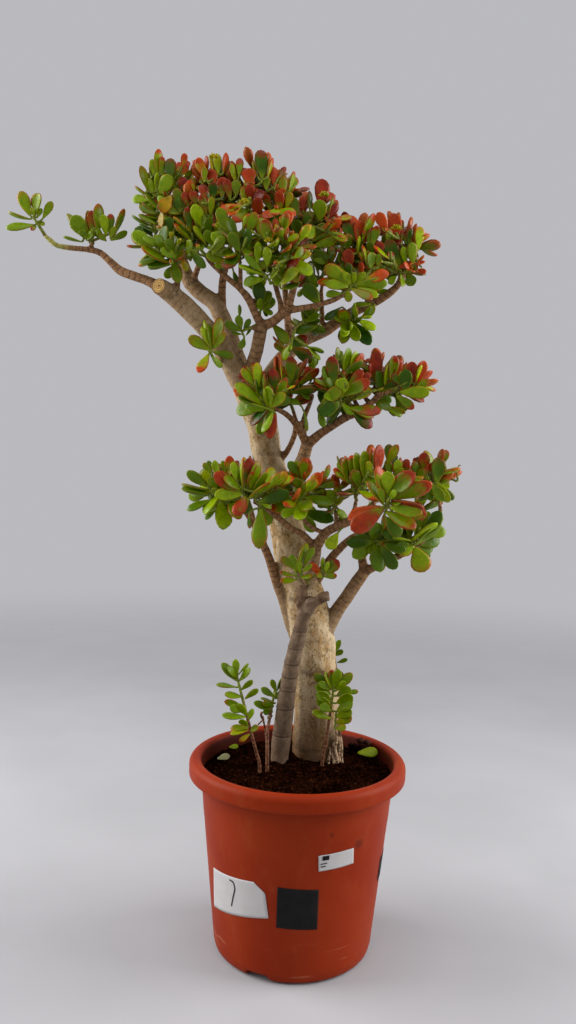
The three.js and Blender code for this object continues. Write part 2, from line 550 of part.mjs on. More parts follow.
/** A body turned round Z from a profile of [radius, height] that runs up its outside. */
function turned(profile) {
  const shape = new THREE.LatheGeometry(profile.map(([r, z]) => new THREE.Vector2(r, z)), POT_SIDES);
  return shape.rotateX(Math.PI / 2);
}

function potSolid() {
  const lipInside = RIM_RADIUS - LIP_THICKNESS;
  const lipBottom = POT_HEIGHT - LIP_DROP;
  const body = solid(turned([
    [0, 0],
    [CENTRE_PAD_RADIUS, 0],
    [CENTRE_PAD_RADIUS + 4, FLOOR_RISE],
    [FOOT_RADIUS - FOOT_RING - 1, FLOOR_RISE],
    [FOOT_RADIUS - FOOT_RING, 0],
    [FOOT_RADIUS, 0],
    [FOOT_RADIUS + 6, 3.5],
    [WALL_FOOT_RADIUS, WALL_FOOT_HEIGHT],
    [wallRadius(POT_HEIGHT - 20), POT_HEIGHT - 20],
    [WALL_TOP_RADIUS + 2, POT_HEIGHT - 5],
    [lipInside - 0.5, POT_HEIGHT - 5],
    [lipInside, lipBottom],
    [RIM_RADIUS, lipBottom],
    [RIM_RADIUS, POT_HEIGHT - 6],
    [RIM_RADIUS - 5, POT_HEIGHT],
    [WALL_TOP_RADIUS + 1, POT_HEIGHT],
    [WALL_TOP_RADIUS - 2, POT_HEIGHT - 3],
    [wallRadius(POT_HEIGHT - 9) - WALL, POT_HEIGHT - 9],
    [wallRadius(17) - WALL, 17],
    [FOOT_RADIUS + 2, FLOOR_TOP],
    [0, FLOOR_TOP],
  ]));
  const cuts = [];
  for (let i = 0; i < NOTCH_COUNT; i += 1) {
    const turn = THREE.MathUtils.degToRad(NOTCH_START + (i * 360) / NOTCH_COUNT);
    const notch = new THREE.BoxGeometry(30, NOTCH_WIDTH, NOTCH_HEIGHT + 2);
    cuts.push(solid(notch.translate(FOOT_RADIUS + 2, 0, NOTCH_HEIGHT / 2 - 1).rotateZ(turn)));
    const drain = new THREE.CylinderGeometry(DRAIN_RADIUS, DRAIN_RADIUS, 20, 6).rotateX(Math.PI / 2);
    cuts.push(solid(drain.translate(DRAIN_CIRCLE, 0, FLOOR_TOP).rotateZ(turn)));
  }
  return cuts.reduce((pot, cut) => pot.subtract(cut), body);
}

/** Height of the soil's surface, a low mound with clods. */
function soilHeight(x, y) {
  const toTrunk = Math.hypot(x - 20, y - 45);
  return SOIL_HEIGHT + SOIL_MOUND * Math.exp(-((toTrunk / 75) ** 2))
    + 0.9 * Math.sin(x / 13 + 1) * Math.sin(y / 11 + 2);
}

/** The soil, filling the pot, with a plain hole for each stem. */
function soilSolid(feet) {
  const radius = (z) => wallRadius(z) - WALL - FIT_GAP;
  const rings = [0.8, 0.45, 0];
  const shape = turned([
    [0, FLOOR_TOP + FIT_GAP],
    [FOOT_RADIUS + 1.5, FLOOR_TOP + FIT_GAP],
    [radius(17.5), 17.5],
    [radius(SOIL_HEIGHT - 2), SOIL_HEIGHT - 2],
    ...rings.map((share) => [share * radius(SOIL_HEIGHT), SOIL_HEIGHT]),
  ]);
  const corner = shape.attributes.position;
  for (let i = 0; i < corner.count; i += 1) {
    if (corner.getZ(i) > SOIL_HEIGHT - 1) {
      corner.setZ(i, soilHeight(corner.getX(i), corner.getY(i)));
    }
  }
  const holes = feet.map(({ path: [foot, knee], sides }) => {
    const hole = foot[3] + FIT_GAP / Math.cos(Math.PI / sides);
    return stem([[foot[0], foot[1], foot[2] - FIT_GAP, hole], [knee[0], knee[1], knee[2] + 4, hole]], sides);
  });
  return holes.reduce((soil, hole) => soil.subtract(hole), solid(shape));
}

/** A sticker on the pot's wall. The outline is [to the right, height], seen square on at its turn. */
function labelSolid(turn, outline) {
  const heights = outline.map(([, z]) => z);
  const [bottom, top] = [Math.min(...heights) - 5, Math.max(...heights) + 5];
  const under = (z) => wallRadius(z) + FIT_GAP;
  const sheet = solid(turned([
    [under(bottom) + LABEL_THICKNESS, bottom],
    [under(top) + LABEL_THICKNESS, top],
    [under(top), top],
    [under(bottom), bottom],
    [under(bottom) + LABEL_THICKNESS, bottom],
  ]));
  const shape = new THREE.Shape(outline.map(([x, z]) => new THREE.Vector2(x, z)));
  const prism = new THREE.ExtrudeGeometry(shape, { depth: 2 * RIM_RADIUS, bevelEnabled: false });
  const outward = new THREE.Vector3(1, 0, 0).applyAxisAngle(Z, THREE.MathUtils.degToRad(turn));
  const right = Z.clone().cross(outward);
  prism.applyMatrix4(new THREE.Matrix4().makeBasis(right, Z, outward));
  return sheet.intersect(solid(prism));
}

// ---------------------------------------------------------------- assembly

const plant = new THREE.Group();
plant.name = 'jade_plant';

function addPiece(name, body, color, roughness = 0.6) {
  const { vertProperties, triVerts } = body.getMesh();
  const geometry = new THREE.BufferGeometry();
  geometry.setAttribute('position', new THREE.BufferAttribute(vertProperties, 3));
  geometry.setIndex(new THREE.BufferAttribute(triVerts, 1));
  const mesh = new THREE.Mesh(geometry, new THREE.MeshStandardMaterial({ color, roughness }));
  mesh.name = name;
  plant.add(mesh);
}

const { sprays, grown } = growSprays();

/** Sides of a stem by its greatest radius. */
function sidesFor(path) {
  const widest = Math.max(...path.map((row) => row[3]));
  return [[30, 10], [13, 6], [8, 5], [5.2, 4]].find(([radius]) => widest >= radius)?.[1] ?? 3;
}

/** Points along a woody stalk, with one in its middle unless it is nearly straight. */
function stalkPath({ stalk, stalkRadius, direction }) {
  const steps = heading(stalk[0], stalk[2]).dot(direction) > NEARLY_STRAIGHT ? 1 : 2;
  return tapered(stalk, steps, stalkRadius, SHOOT_RADIUS);
}

/** A limb that runs on into the stalk of the first spray at its end, and the other stalks on it. */
function limbSolids([name, path]) {
  const [next, ...rest] = sprays.filter(({ limb, isEnd }) => limb === name && isEnd);
  const others = [...rest, ...sprays.filter(({ limb, isEnd }) => limb === name && !isEnd)];
  const whole = next ? [...path, ...stalkPath(next).slice(1)] : path;
  return [
    stem(whole, sidesFor(path), undefined, next?.direction),
    ...others.map((spray) => stem(stalkPath(spray), SHOOT_SIDES, undefined, spray.direction)),
  ];
}

const woodSolid = (limbs) => joined(Object.entries(limbs).flatMap(limbSolids));
const suckers = sprays.filter(({ foot }) => foot);

const feet = [
  { path: LIMBS.trunk, sides: sidesFor(LIMBS.trunk) },
  { path: FRONT_LIMBS.front_stem, sides: sidesFor(FRONT_LIMBS.front_stem) },
  ...suckers.map(({ foot }) => ({ path: foot, sides: sidesFor(foot) })),
];

addPiece('pot', potSolid(), 0xb85a38, 0.5);
addPiece('soil', soilSolid(feet), 0x2e211b, 0.95);
addPiece('trunk', woodSolid(LIMBS), 0x9b8266, 0.9);
addPiece('front_stem', woodSolid(FRONT_LIMBS), 0x85776a, 0.9);

for (const spray of sprays) {
  const stems = spray.shoots.map(({ path }, i) => (
    stem(path, SHOOT_SIDES, i === 0 ? spray.direction : undefined)
  ));
  if (spray.foot) {
    stems.push(stem(spray.foot, sidesFor(spray.foot)));
  }
  const leaves = grown.filter((leaf) => leaf.spray === spray).map(leafSolid);
  addPiece(spray.name, joined([...stems, ...leaves]), 0x5f8a34, 0.4);
}

for (const [name, root, turn, length, width, thickness] of FALLEN) {
  const along = X.clone().applyAxisAngle(Z, THREE.MathUtils.degToRad(turn));
  const body = leafSolid({ root: point(root), along, normal: Z, length, width, thickness });
  addPiece(name, body, name.endsWith('green') ? 0x6f9a4a : 0xcfc49a);
}

addPiece('label_white', labelSolid(228.5, [[-67, 69], [49, 96], [46, 133], [30, 146], [-60, 130]]),
  0xe4e2dc);
addPiece('label_black', labelSolid(273, [[-28, 87], [28, 85], [28, 144], [-28, 147]]), 0x1d1c1f, 0.4);
addPiece('label_small', labelSolid(296.6, [[-28, 171], [25, 174], [23, 197], [-30, 194]]), 0xe8e6e0);

export default plant;
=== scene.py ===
"""A jade plant grown as a small tree in a round plastic nursery pot.

This script gives the plant its fine surfaces and finishes, and sets up the floor, the light and the camera.
Sizes are millimetres, with +Z up, +X to the right, -Y to the front and the origin under the middle of the
pot. Meshes are made in metres.
"""
import math

import bpy
import numpy as np
from mathutils import Matrix, Vector


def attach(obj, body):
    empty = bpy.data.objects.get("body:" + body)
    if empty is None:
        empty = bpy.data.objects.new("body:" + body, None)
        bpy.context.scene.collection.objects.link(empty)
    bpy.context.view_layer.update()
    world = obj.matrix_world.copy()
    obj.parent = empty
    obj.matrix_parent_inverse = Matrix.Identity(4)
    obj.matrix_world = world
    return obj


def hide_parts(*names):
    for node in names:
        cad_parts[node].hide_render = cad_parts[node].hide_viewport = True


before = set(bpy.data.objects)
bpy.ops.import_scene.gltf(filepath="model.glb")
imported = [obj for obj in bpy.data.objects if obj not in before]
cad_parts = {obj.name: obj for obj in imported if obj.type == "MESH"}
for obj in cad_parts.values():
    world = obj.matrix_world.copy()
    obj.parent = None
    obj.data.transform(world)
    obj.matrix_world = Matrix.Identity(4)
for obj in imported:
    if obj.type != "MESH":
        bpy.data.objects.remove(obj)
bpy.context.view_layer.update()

# ---------------------------------------------------------------- sizes

FIT_GAP = 0.3

POT_HEIGHT = 284
RIM_RADIUS = 159
LIP_DROP = 24
LIP_THICKNESS = 3
WALL = 3.2
WALL_TOP_RADIUS = 144
WALL_FOOT_RADIUS = 117
WALL_FOOT_HEIGHT = 14
FOOT_RADIUS = 108
FOOT_RING = 10
CENTRE_PAD_RADIUS = 24
FLOOR_RISE = 8
FLOOR_TOP = 11.5
NOTCH_WIDTH = 34
NOTCH_HEIGHT = 10
NOTCH_COUNT = 3
NOTCH_START = 246  # degrees from +X to the notch at the front left
DRAIN_RADIUS = 5
DRAIN_CIRCLE = 72

SOIL_HEIGHT = 262
SOIL_MOUND = 6
SOIL_RINGS = 90
SOIL_AROUND = 200
CRUMB_COUNT = 620
POT_AROUND = 192
LABEL_THICKNESS = 0.6
STICKER_COLUMNS, STICKER_ROWS = 24, 16
WOOD_AROUND = 16
SMOOTHING_PASSES = 6
FLOOR_RADIUS = 3.5
FLOOR_CORNERS = 96

STALK_RADIUS = 3.8
SHOOT_RADIUS = 2.6
SIDE_SHOOT_RADIUS = 2.2
SIDE_SHOOT_START = 3.5
SHOOT_TIP_RADIUS = 1.9
SIDE_SHOOT_REACH = 24
ROOT_SINK = 0.9
LEAF_WIDTH = 0.52
LEAF_THICKNESS = 0.13
OLD_LEAF_WIDTH = 0.46
OLD_LEAF_THICKNESS = 0.12
LEAF_CAMBER = 0.1
LEAF_WIDEST = 0.66
NARROWEST = 0.42
LEAST_SEEN, MOST_SEEN = 0.16, 0.8  # width over length of a placed leaf, as it is seen
LEAF_SWELL = 1.3
PLACED_ROLL = 0.5
BEHIND_TRIES = 5
SHADE_REACH = 0.56
MOST_LEAVES = 4000
SUCKER_SHADE = 0.78
LEAF_CUP = 0.28
LEAF_STEM_FROM = 3  # a placed leaf that stands further than this from every stem gets one of its own
BUD_COUNT = 11
BUD_LENGTH = 6.5
CUT_MIDDLE = (-0.212, -0.045, 0.955)

CAMERA_PLACE = (0, -1.325, 0.747)
CAMERA_PITCH = 4.4
CAMERA_ROLL = 1.8
CAMERA_YAW = -1.1
CAMERA_LENS = 32.27
CAMERA_SENSOR = 36
VIEW_WIDTH, VIEW_HEIGHT = 576, 1024
WORLD_STRENGTH = 0.62

# ---------------------------------------------------------------- the plant's plan

# Limbs: points [x, y, z, radius] from the root of each to its end.
LIMBS = {
    "trunk": [[31, 66, 232, 39.5], [31, 66, 276, 39.5], [28, 64, 296, 36.5], [26, 62, 352, 34.5],
        [20, 58, 415, 33.5], [11, 54, 477, 32.5], [-2, 50, 524, 30], [-15, 46, 569, 28.5],
        [-25, 42, 615, 26], [-37, 38, 660, 24.5], [-50, 34, 697, 23], [-60, 30, 733, 22],
        [-68, 27, 770, 22], [-79, 24, 798, 23.5], [-93, 20, 822, 20.5]],
    "left_limb": [[-86, 18, 812, 19], [-104, 10, 840, 16.5], [-126, 0, 877, 15.5], [-151, -10, 905, 14],
        [-172, -15, 926, 14], [-190, -20, 941, 13.5], [-207, -25, 953, 12.5]],
    "left_arm": [[-202, -25, 950, 10], [-229, -20, 964, 7], [-251, -15, 972, 6.5], [-273, -10, 980, 6.5],
        [-285, -10, 990, 5.5], [-302, -10, 1004, 4.5], [-319, -10, 1008, 4], [-344, -15, 1009, 4],
        [-361, -20, 1011, 3.5], [-372, -22, 1019, 3.5]],
    "mid_limb": [[-90, 24, 823, 16], [-108, 30, 863, 14], [-121, 36, 900, 13], [-134, 40, 929, 12.5],
        [-146, 42, 948, 12], [-166, 45, 962, 11.5], [-182, 48, 978, 11], [-191, 52, 998, 9],
        [-198, 55, 1021, 6]],
    "third_limb": [[-85, 22, 811, 13], [-85, 8, 845, 10.5], [-77, -5, 875, 9], [-73, -12, 896, 9],
        [-70, -15, 908, 8.5]],
    "third_left": [[-70, -15, 908, 7], [-82, -20, 929, 5.5], [-89, -25, 943, 5.5], [-101, -30, 956, 4.5],
        [-122, -40, 972, 4], [-138, -45, 985, 3.5]],
    "third_right": [[-70, -15, 908, 7.5], [-56, -20, 913, 7], [-43, -25, 923, 6.5], [-35, -28, 929, 6.5]],
    "crown_right": [[-35, -28, 929, 6], [-29, -32, 950, 5], [-20, -38, 986, 4.5], [-13, -40, 1010, 4],
        [-11, -38, 1029, 3.5]],
    "crown_reach": [[-35, -28, 929, 5], [-14, -32, 932, 4.5], [10, -38, 937, 4], [31, -42, 944, 4],
        [45, -48, 954, 3.5], [53, -55, 963, 3.5]],
    "crown_mid": [[-43, -25, 923, 5], [-45, -20, 940, 4], [-50, -15, 956, 4], [-62, -5, 999, 3.5],
        [-72, 0, 1033, 3]],
    "crown_back": [[-132, 40, 925, 7], [-133, 42, 951, 6], [-133, 45, 980, 5.5], [-127, 50, 1013, 4.5],
        [-122, 52, 1040, 3.5]],
    "crown_far": [[-32, 52, 875, 6.5], [-34, 60, 912, 6], [-40, 66, 957, 5], [-44, 70, 1002, 4],
        [-47, 70, 1039, 3.5]],
    "left_twig": [[-189, -18, 946, 5.5], [-191, -20, 959, 4.5], [-187, -20, 982, 3.5]],
    "mid_twig": [[-178, 47, 975, 6], [-172, 38, 988, 4.5], [-165, 28, 1002, 4]],
    "right_limb": [[-81, 30, 806, 14.5], [-59, 45, 841, 13.5], [-37, 52, 875, 12], [-14, 50, 896, 10.5],
        [20, 45, 912, 9], [41, 38, 926, 8], [62, 30, 939, 7.5], [83, 20, 948, 7], [103, 10, 958, 6],
        [118, 0, 970, 5], [126, -6, 984, 4.5], [130, -10, 999, 4]],
    "right_twig": [[15, 44, 910, 4.5], [14, 38, 937, 4], [12, 32, 965, 3.5]],
    "mid_stalk": [[-40, 38, 669, 13.5], [-22, 25, 690, 11], [-8, 10, 718, 10], [-1, 0, 743, 9]],
    "mid_right": [[-1, 0, 743, 7.5], [17, -8, 759, 6.5], [38, -15, 774, 6], [53, -18, 784, 6],
        [72, -20, 794, 5], [87, -22, 804, 4.5], [99, -25, 816, 4]],
    "mid_left": [[-1, 0, 743, 7], [-10, -8, 759, 5.5], [-19, -18, 773, 5], [-32, -30, 785, 4],
        [-44, -42, 791, 3.5]],
    "mid_up": [[-6, -4, 752, 4.5], [-7, 5, 778, 4], [0, 12, 800, 3.5], [5, 16, 815, 3]],
    "thin_dark": [[-40, 30, 719, 5.5], [-29, 20, 734, 4.5], [-20, 12, 756, 4], [-18, 6, 775, 4]],
    "low_left": [[-24, 48, 503, 11.5], [-41, 37, 541, 8], [-52, 25, 574, 6.5], [-63, 15, 600, 6],
        [-74, 5, 624, 5], [-85, -12, 643, 4.5], [-94, -22, 652, 4]],
    "low_fork": [[0, 42, 522, 14.5], [11, 17, 565, 12], [15, -2, 594, 10]],
    "low_cross": [[15, -3, 593, 6.5], [-1, -20, 614, 5], [-20, -32, 625, 4.5], [-37, -42, 639, 4.5],
        [-52, -52, 651, 4], [-66, -62, 660, 3.5]],
    "low_mid": [[14, -3, 591, 8], [29, -22, 618, 7], [43, -38, 629, 6.5], [62, -58, 640, 6],
        [82, -82, 652, 5], [99, -100, 661, 4.5]],
    "low_back": [[16, 45, 533, 8], [36, 38, 569, 6.5], [53, 34, 591, 6], [70, 30, 607, 5.5],
        [87, 24, 616, 4.5]],
    "big_right": [[31, 54, 453, 15], [51, 48, 492, 11], [66, 42, 517, 10], [80, 36, 541, 9.5],
        [90, 32, 557, 9]],
    "back_riser": [[90, 32, 557, 7.5], [86, 36, 580, 6.5], [86, 42, 599, 5.5], [90, 50, 625, 4.5]],
    "low_reach": [[90, 32, 557, 7.5], [110, 25, 569, 6], [135, 15, 583, 5.5], [156, 5, 598, 5],
        [175, -5, 616, 4.5], [189, -10, 636, 4], [192, -14, 655, 3.5]],
    "cut_stub": [[-200, -22, 950, 12], [-208, -34, 953, 12], [-213, -45, 955, 11]],
}

# The second stem, which stands in front of the trunk and was cut off at a knob.
FRONT_LIMBS = {
    "front_stem": [[-27, 30, 232, 15], [-27, 30, 276, 15], [-23, 26, 322, 14], [-19, 21, 370, 13],
        [-13, 14, 417, 12], [-5, 4, 460, 11], [3, -8, 498, 9.5]],
    "knob": [[1, -8, 495, 10], [8, -14, 511, 11], [22, -18, 521, 8.5], [35, -20, 528, 8]],
    "knob_up": [[2, -10, 501, 8.5], [-2, -13, 522, 8], [0, -15, 538, 6]],
}

# Leafy sprays: [name, limb, point of the limb, end of the stalk, shoots, old leaves].
# A shoot is [x, y, z of its tip, pairs of leaves, leaf length, turn of the first pair].
# An old leaf is [shoot, how far along it, x, y, z of the leaf's tip].
SPRAYS = [
    ["far_left_tip", "left_arm", 9, [-378, -23, 1025], [[-391, -27, 1045, 2, 39, 20]], []],
    ["far_left_row", "left_arm", 6, [-313, -12, 1017], [[-330, -4, 1029, 2, 38, 70],
        [-306, -22, 1032, 2, 34, 20], [-292, -12, 1029, 2, 33, 10]], []],
    ["crown_left_tall", "mid_limb", 8, [-211, 20, 1014], [[-228, 0, 1115, 4, 36, 5],
        [-203, 24, 1107, 2, 38, 90]], []],
    ["crown_left_low", "left_twig", 2, [-193, -27, 991], [[-215, -50, 1006, 4, 43, 15],
        [-191, -75, 982, 2, 36, 60]], []],
    ["crown_left_mid", "mid_twig", 2, [-167, 8, 1014], [[-183, -30, 1040, 4, 35, 40],
        [-154, -35, 1038, 2, 35, 0], [-176, -12, 1076, 2, 36, 75]], []],
    ["crown_left_back", "mid_limb", 8, [-207, 72, 1045], [[-234, 90, 1096, 2, 35, 20],
        [-196, 80, 1118, 2, 35, 50]], []],
    ["crown_front_left", "third_left", 5, [-146, -52, 994], [[-153, -82, 1000, 2, 34, 30],
        [-126, -92, 1009, 3, 37, 70]], []],
    ["crown_top_left", "crown_back", 4, [-143, 10, 1072], [[-157, 0, 1118, 2, 35, 5],
        [-154, -48, 1067, 3, 36, 40]], []],
    ["crown_top_mid", "crown_mid", 4, [-92, -10, 1063], [[-108, -15, 1109, 2, 34, 30],
        [-89, -62, 1072, 3, 36, 85], [-77, 5, 1123, 2, 40, 80]], []],
    ["crown_top_right", "crown_mid", 4, [-56, 5, 1065], [[-48, 22, 1111, 2, 36, 10],
        [-54, -52, 1062, 3, 36, 80]], []],
    ["crown_top_far_right", "crown_right", 4, [-10, -28, 1045], [[-25, -2, 1071, 3, 36, 30],
        [6, -20, 1077, 2, 40, 85], [30, -48, 1029, 3, 35, 0]], []],
    ["crown_front_mid", "third_left", 3, [-101, -50, 989], [[-116, -77, 1033, 2, 37, 20],
        [-89, -95, 1012, 3, 38, 60]], []],
    ["crown_front_right", "crown_mid", 3, [-42, -48, 991], [[-63, -88, 1021, 3, 38, 30],
        [-34, -72, 1018, 3, 38, 85], [-26, -96, 988, 3, 37, 60]], []],
    ["crown_back_left", "crown_back", 4, [-130, 70, 1066], [[-151, 90, 1107, 2, 35, 0],
        [-110, 85, 1118, 2, 35, 50]], []],
    ["crown_back_right", "crown_far", 4, [-45, 78, 1059], [[-68, 92, 1109, 2, 35, 20],
        [-26, 88, 1098, 2, 35, 60]], []],
    ["crown_back_far", "crown_far", 3, [-14, 80, 1042], [[10, 82, 1072, 2, 34, 0],
        [35, 65, 1047, 3, 34, 50]], []],
    ["right_crown_rosette", "crown_reach", 5, [54, -58, 966], [[52, -70, 976, 3, 47, 0]], []],
    ["right_crown_top", "right_limb", 7, [63, 8, 1013], [[48, 0, 1042, 2, 37, 40],
        [71, -25, 1011, 3, 35, 80]], []],
    ["right_crown_end", "right_limb", 11, [126, -12, 1014], [[113, -22, 1040, 2, 39, 85],
        [136, -2, 1033, 2, 38, 20]], []],
    ["right_crown_low", "right_limb", 9, [120, -14, 986], [[92, -30, 994, 3, 36, 30],
        [109, -32, 1001, 3, 32, 80], [138, -26, 985, 2, 24, 40]], []],
    ["right_crown_inner", "right_twig", 2, [11, 28, 982], [[18, 15, 999, 2, 36, 20],
        [-6, 35, 988, 2, 30, 60]], []],
    ["right_crown_back", "right_limb", 7, [86, 50, 999], [[106, 60, 1033, 2, 34, 50]], []],
    ["under_right", "right_limb", 6, [56, 10, 923], [[53, -4, 916, 2, 34, 25]], [[0, 0.3, 43, 4, 888],
        [0, 0.2, 84, 2, 886], [0, 0.5, 71, -12, 918]]],
    ["under_middle", "third_right", 3, [-25, -24, 905], [[-7, -5, 922, 3, 34, 60],
        [-28, -34, 881, 2, 34, 15]], []],
    ["under_left", "third_limb", 3, [-86, -22, 904], [[-95, -26, 900, 2, 28, 45]], []],
    ["elbow", "left_limb", 2, [-133, -24, 855], [[-141, -46, 869, 3, 38, 20]],
        [[0, 0.1, -154, -40, 834]]],
    ["under_crown", "third_left", 2, [-72, -10, 949], [[-72, -15, 958, 2, 34, 70]], []],
    ["middle_left_front", "mid_left", 4, [-50, -50, 795], [[-65, -64, 802, 3, 48, 70],
        [-49, -74, 810, 3, 38, 20]], [[0, 0.05, -54, -58, 751]]],
    ["middle_left_top", "thin_dark", 3, [-23, -3, 792], [[-36, -25, 824, 3, 38, 30]], []],
    ["middle_left_back", "mid_up", 3, [-14, 34, 820], [[-44, 48, 837, 3, 34, 0]], []],
    ["middle_right_top", "mid_right", 4, [61, 2, 818], [[50, 15, 851, 2, 34, 30]], []],
    ["middle_right_front", "mid_right", 3, [57, -28, 802], [[32, -40, 825, 3, 44, 10],
        [48, -64, 829, 3, 38, 80], [74, -58, 818, 2, 43, 5]], [[0, 0.2, 11, -45, 787],
        [2, 0.2, 96, -62, 785]]],
    ["middle_right_mid", "mid_right", 5, [102, -14, 829], [[97, -10, 855, 2, 37, 85],
        [124, 12, 851, 2, 36, 10]], []],
    ["middle_right_end", "mid_right", 6, [114, -30, 822], [[135, -38, 834, 4, 46, 10]],
        [[0, 0.2, 147, -40, 794], [0, 0.15, 110, -34, 789]]],
    ["middle_right_back", "mid_right", 5, [95, 38, 829], [[119, 50, 842, 2, 34, 45]], []],
    ["low_left_inner", "low_cross", 5, [-70, -68, 664], [[-67, -82, 677, 2, 45, 10],
        [-44, -70, 684, 2, 40, 60]], [[0, 0.3, -61, -76, 600], [1, 0.2, -27, -84, 670]]],
    ["low_left_end", "low_left", 6, [-102, -32, 665], [[-139, -45, 680, 3, 44, 10],
        [-113, -5, 692, 2, 38, 10]], [[0, 0.3, -115, -45, 620], [0, 0.15, -90, -66, 637]]],
    ["low_left_back", "low_left", 4, [-87, 20, 662], [[-101, 32, 685, 2, 36, 0]], []],
    ["low_centre", "low_mid", 1, [-5, -46, 655], [[-14, -80, 668, 3, 42, 15], [-4, -50, 694, 2, 40, 70],
        [22, -30, 689, 2, 36, 20]], [[0, 0.3, 39, -62, 628]]],
    ["low_right_rosette", "low_mid", 5, [105, -106, 664], [[109, -132, 678, 4, 54, 20]],
        [[0, 0.3, 57, -132, 640], [0, 0.4, 154, -138, 668]]],
    ["low_right_left", "low_mid", 3, [69, -64, 670], [[59, -60, 705, 2, 42, 10],
        [84, -74, 710, 2, 42, 75]], []],
    ["low_right_top", "low_mid", 4, [112, -66, 688], [[142, -40, 710, 3, 36, 80]], []],
    ["low_right_end", "low_reach", 6, [187, -17, 678], [[169, -22, 706, 2, 39, 5],
        [189, 2, 701, 2, 38, 80]], []],
    ["low_right_low", "low_reach", 3, [160, 2, 613], [[162, -28, 631, 2, 47, 10],
        [163, 42, 669, 2, 38, 20]], [[0, 0.5, 186, -34, 567], [0, 0.5, 192, -20, 651]]],
    ["low_right_under", "low_back", 4, [100, 12, 612], [[108, -10, 608, 3, 42, 30]],
        [[0, 0.1, 111, 6, 561], [0, 0.4, 137, -2, 562]]],
    ["low_right_inner", "low_mid", 2, [41, -48, 652], [[34, -52, 675, 2, 34, 30]], []],
    ["low_right_back", "back_riser", 3, [92, 56, 651], [[119, 62, 678, 2, 38, 50]], []],
    ["knob_tufts", "knob_up", 2, [7, -20, 545], [[-10, -24, 567, 2, 30, 10], [32, -26, 570, 3, 24, 20]],
     []],
]

# Suckers: [name, path of the woody foot, shoots, old leaves], standing in the soil by themselves.
SUCKERS = [
    ["sucker_left", [[-55, -21, 232], [-55, -21, 276], [-60, -22, 294]], [[-90, -26, 403, 6, 32, 20]], []],
    ["sucker_middle", [[-44, -8, 232], [-44, -8, 276], [-46, 4, 318]], [[-38, 34, 371, 4, 25, 15]], []],
    ["sucker_right", [[37, 9, 232], [37, 9, 276], [41, 8, 300]], [[50, 2, 390, 5, 29, 0]], []],
]

# Fallen leaves flat on the soil: [name, [x, y, z of the root], heading, length, width, thickness].
FALLEN = [
    ["leaf_fallen_green", [92, 60, 266.5], 8, 32, 17, 4],
    ["leaf_fallen_pale", [-121, 24, 263.35], 38, 22, 11, 2.4],
]

# How red the leaves of a spray are, from 0 to 1. Sprays in the shade of others are greener.
SPRAY_BLUSH = {
    "far_left_tip": 0.3, "far_left_row": 0.25, "crown_left_tall": 0.3, "crown_left_low": 0.15,
    "crown_left_mid": 0.25, "crown_left_back": 0.3, "crown_front_left": 0.25, "crown_top_left": 0.6,
    "crown_top_mid": 0.7, "crown_top_right": 0.65, "crown_top_far_right": 0.65, "crown_front_mid": 0.35,
    "crown_front_right": 0.35, "crown_back_left": 0.5, "crown_back_right": 0.7, "crown_back_far": 0.6,
    "right_crown_rosette": 0.55, "right_crown_top": 0.6, "right_crown_end": 0.6, "right_crown_low": 0.65,
    "right_crown_inner": 0.4, "right_crown_back": 0.6, "under_right": 0.15, "under_middle": 0.15,
    "under_left": 0.2, "elbow": 0.3, "under_crown": 0.15, "middle_left_front": 0.45,
    "middle_left_top": 0.5, "middle_left_back": 0.4, "middle_right_top": 0.5, "middle_right_front": 0.3,
    "middle_right_mid": 0.75, "middle_right_end": 0.7, "middle_right_back": 0.6, "low_left_inner": 0.35,
    "low_left_end": 0.3, "low_left_back": 0.4, "low_centre": 0.35, "low_right_rosette": 0.5,
    "low_right_left": 0.4, "low_right_top": 0.5, "low_right_end": 0.45, "low_right_low": 0.2,
    "low_right_under": 0.15, "low_right_inner": 0.3, "low_right_back": 0.4, "knob_tufts": 0.65,
    "sucker_left": 0.05, "sucker_middle": 0.05, "sucker_right": 0.15,
}

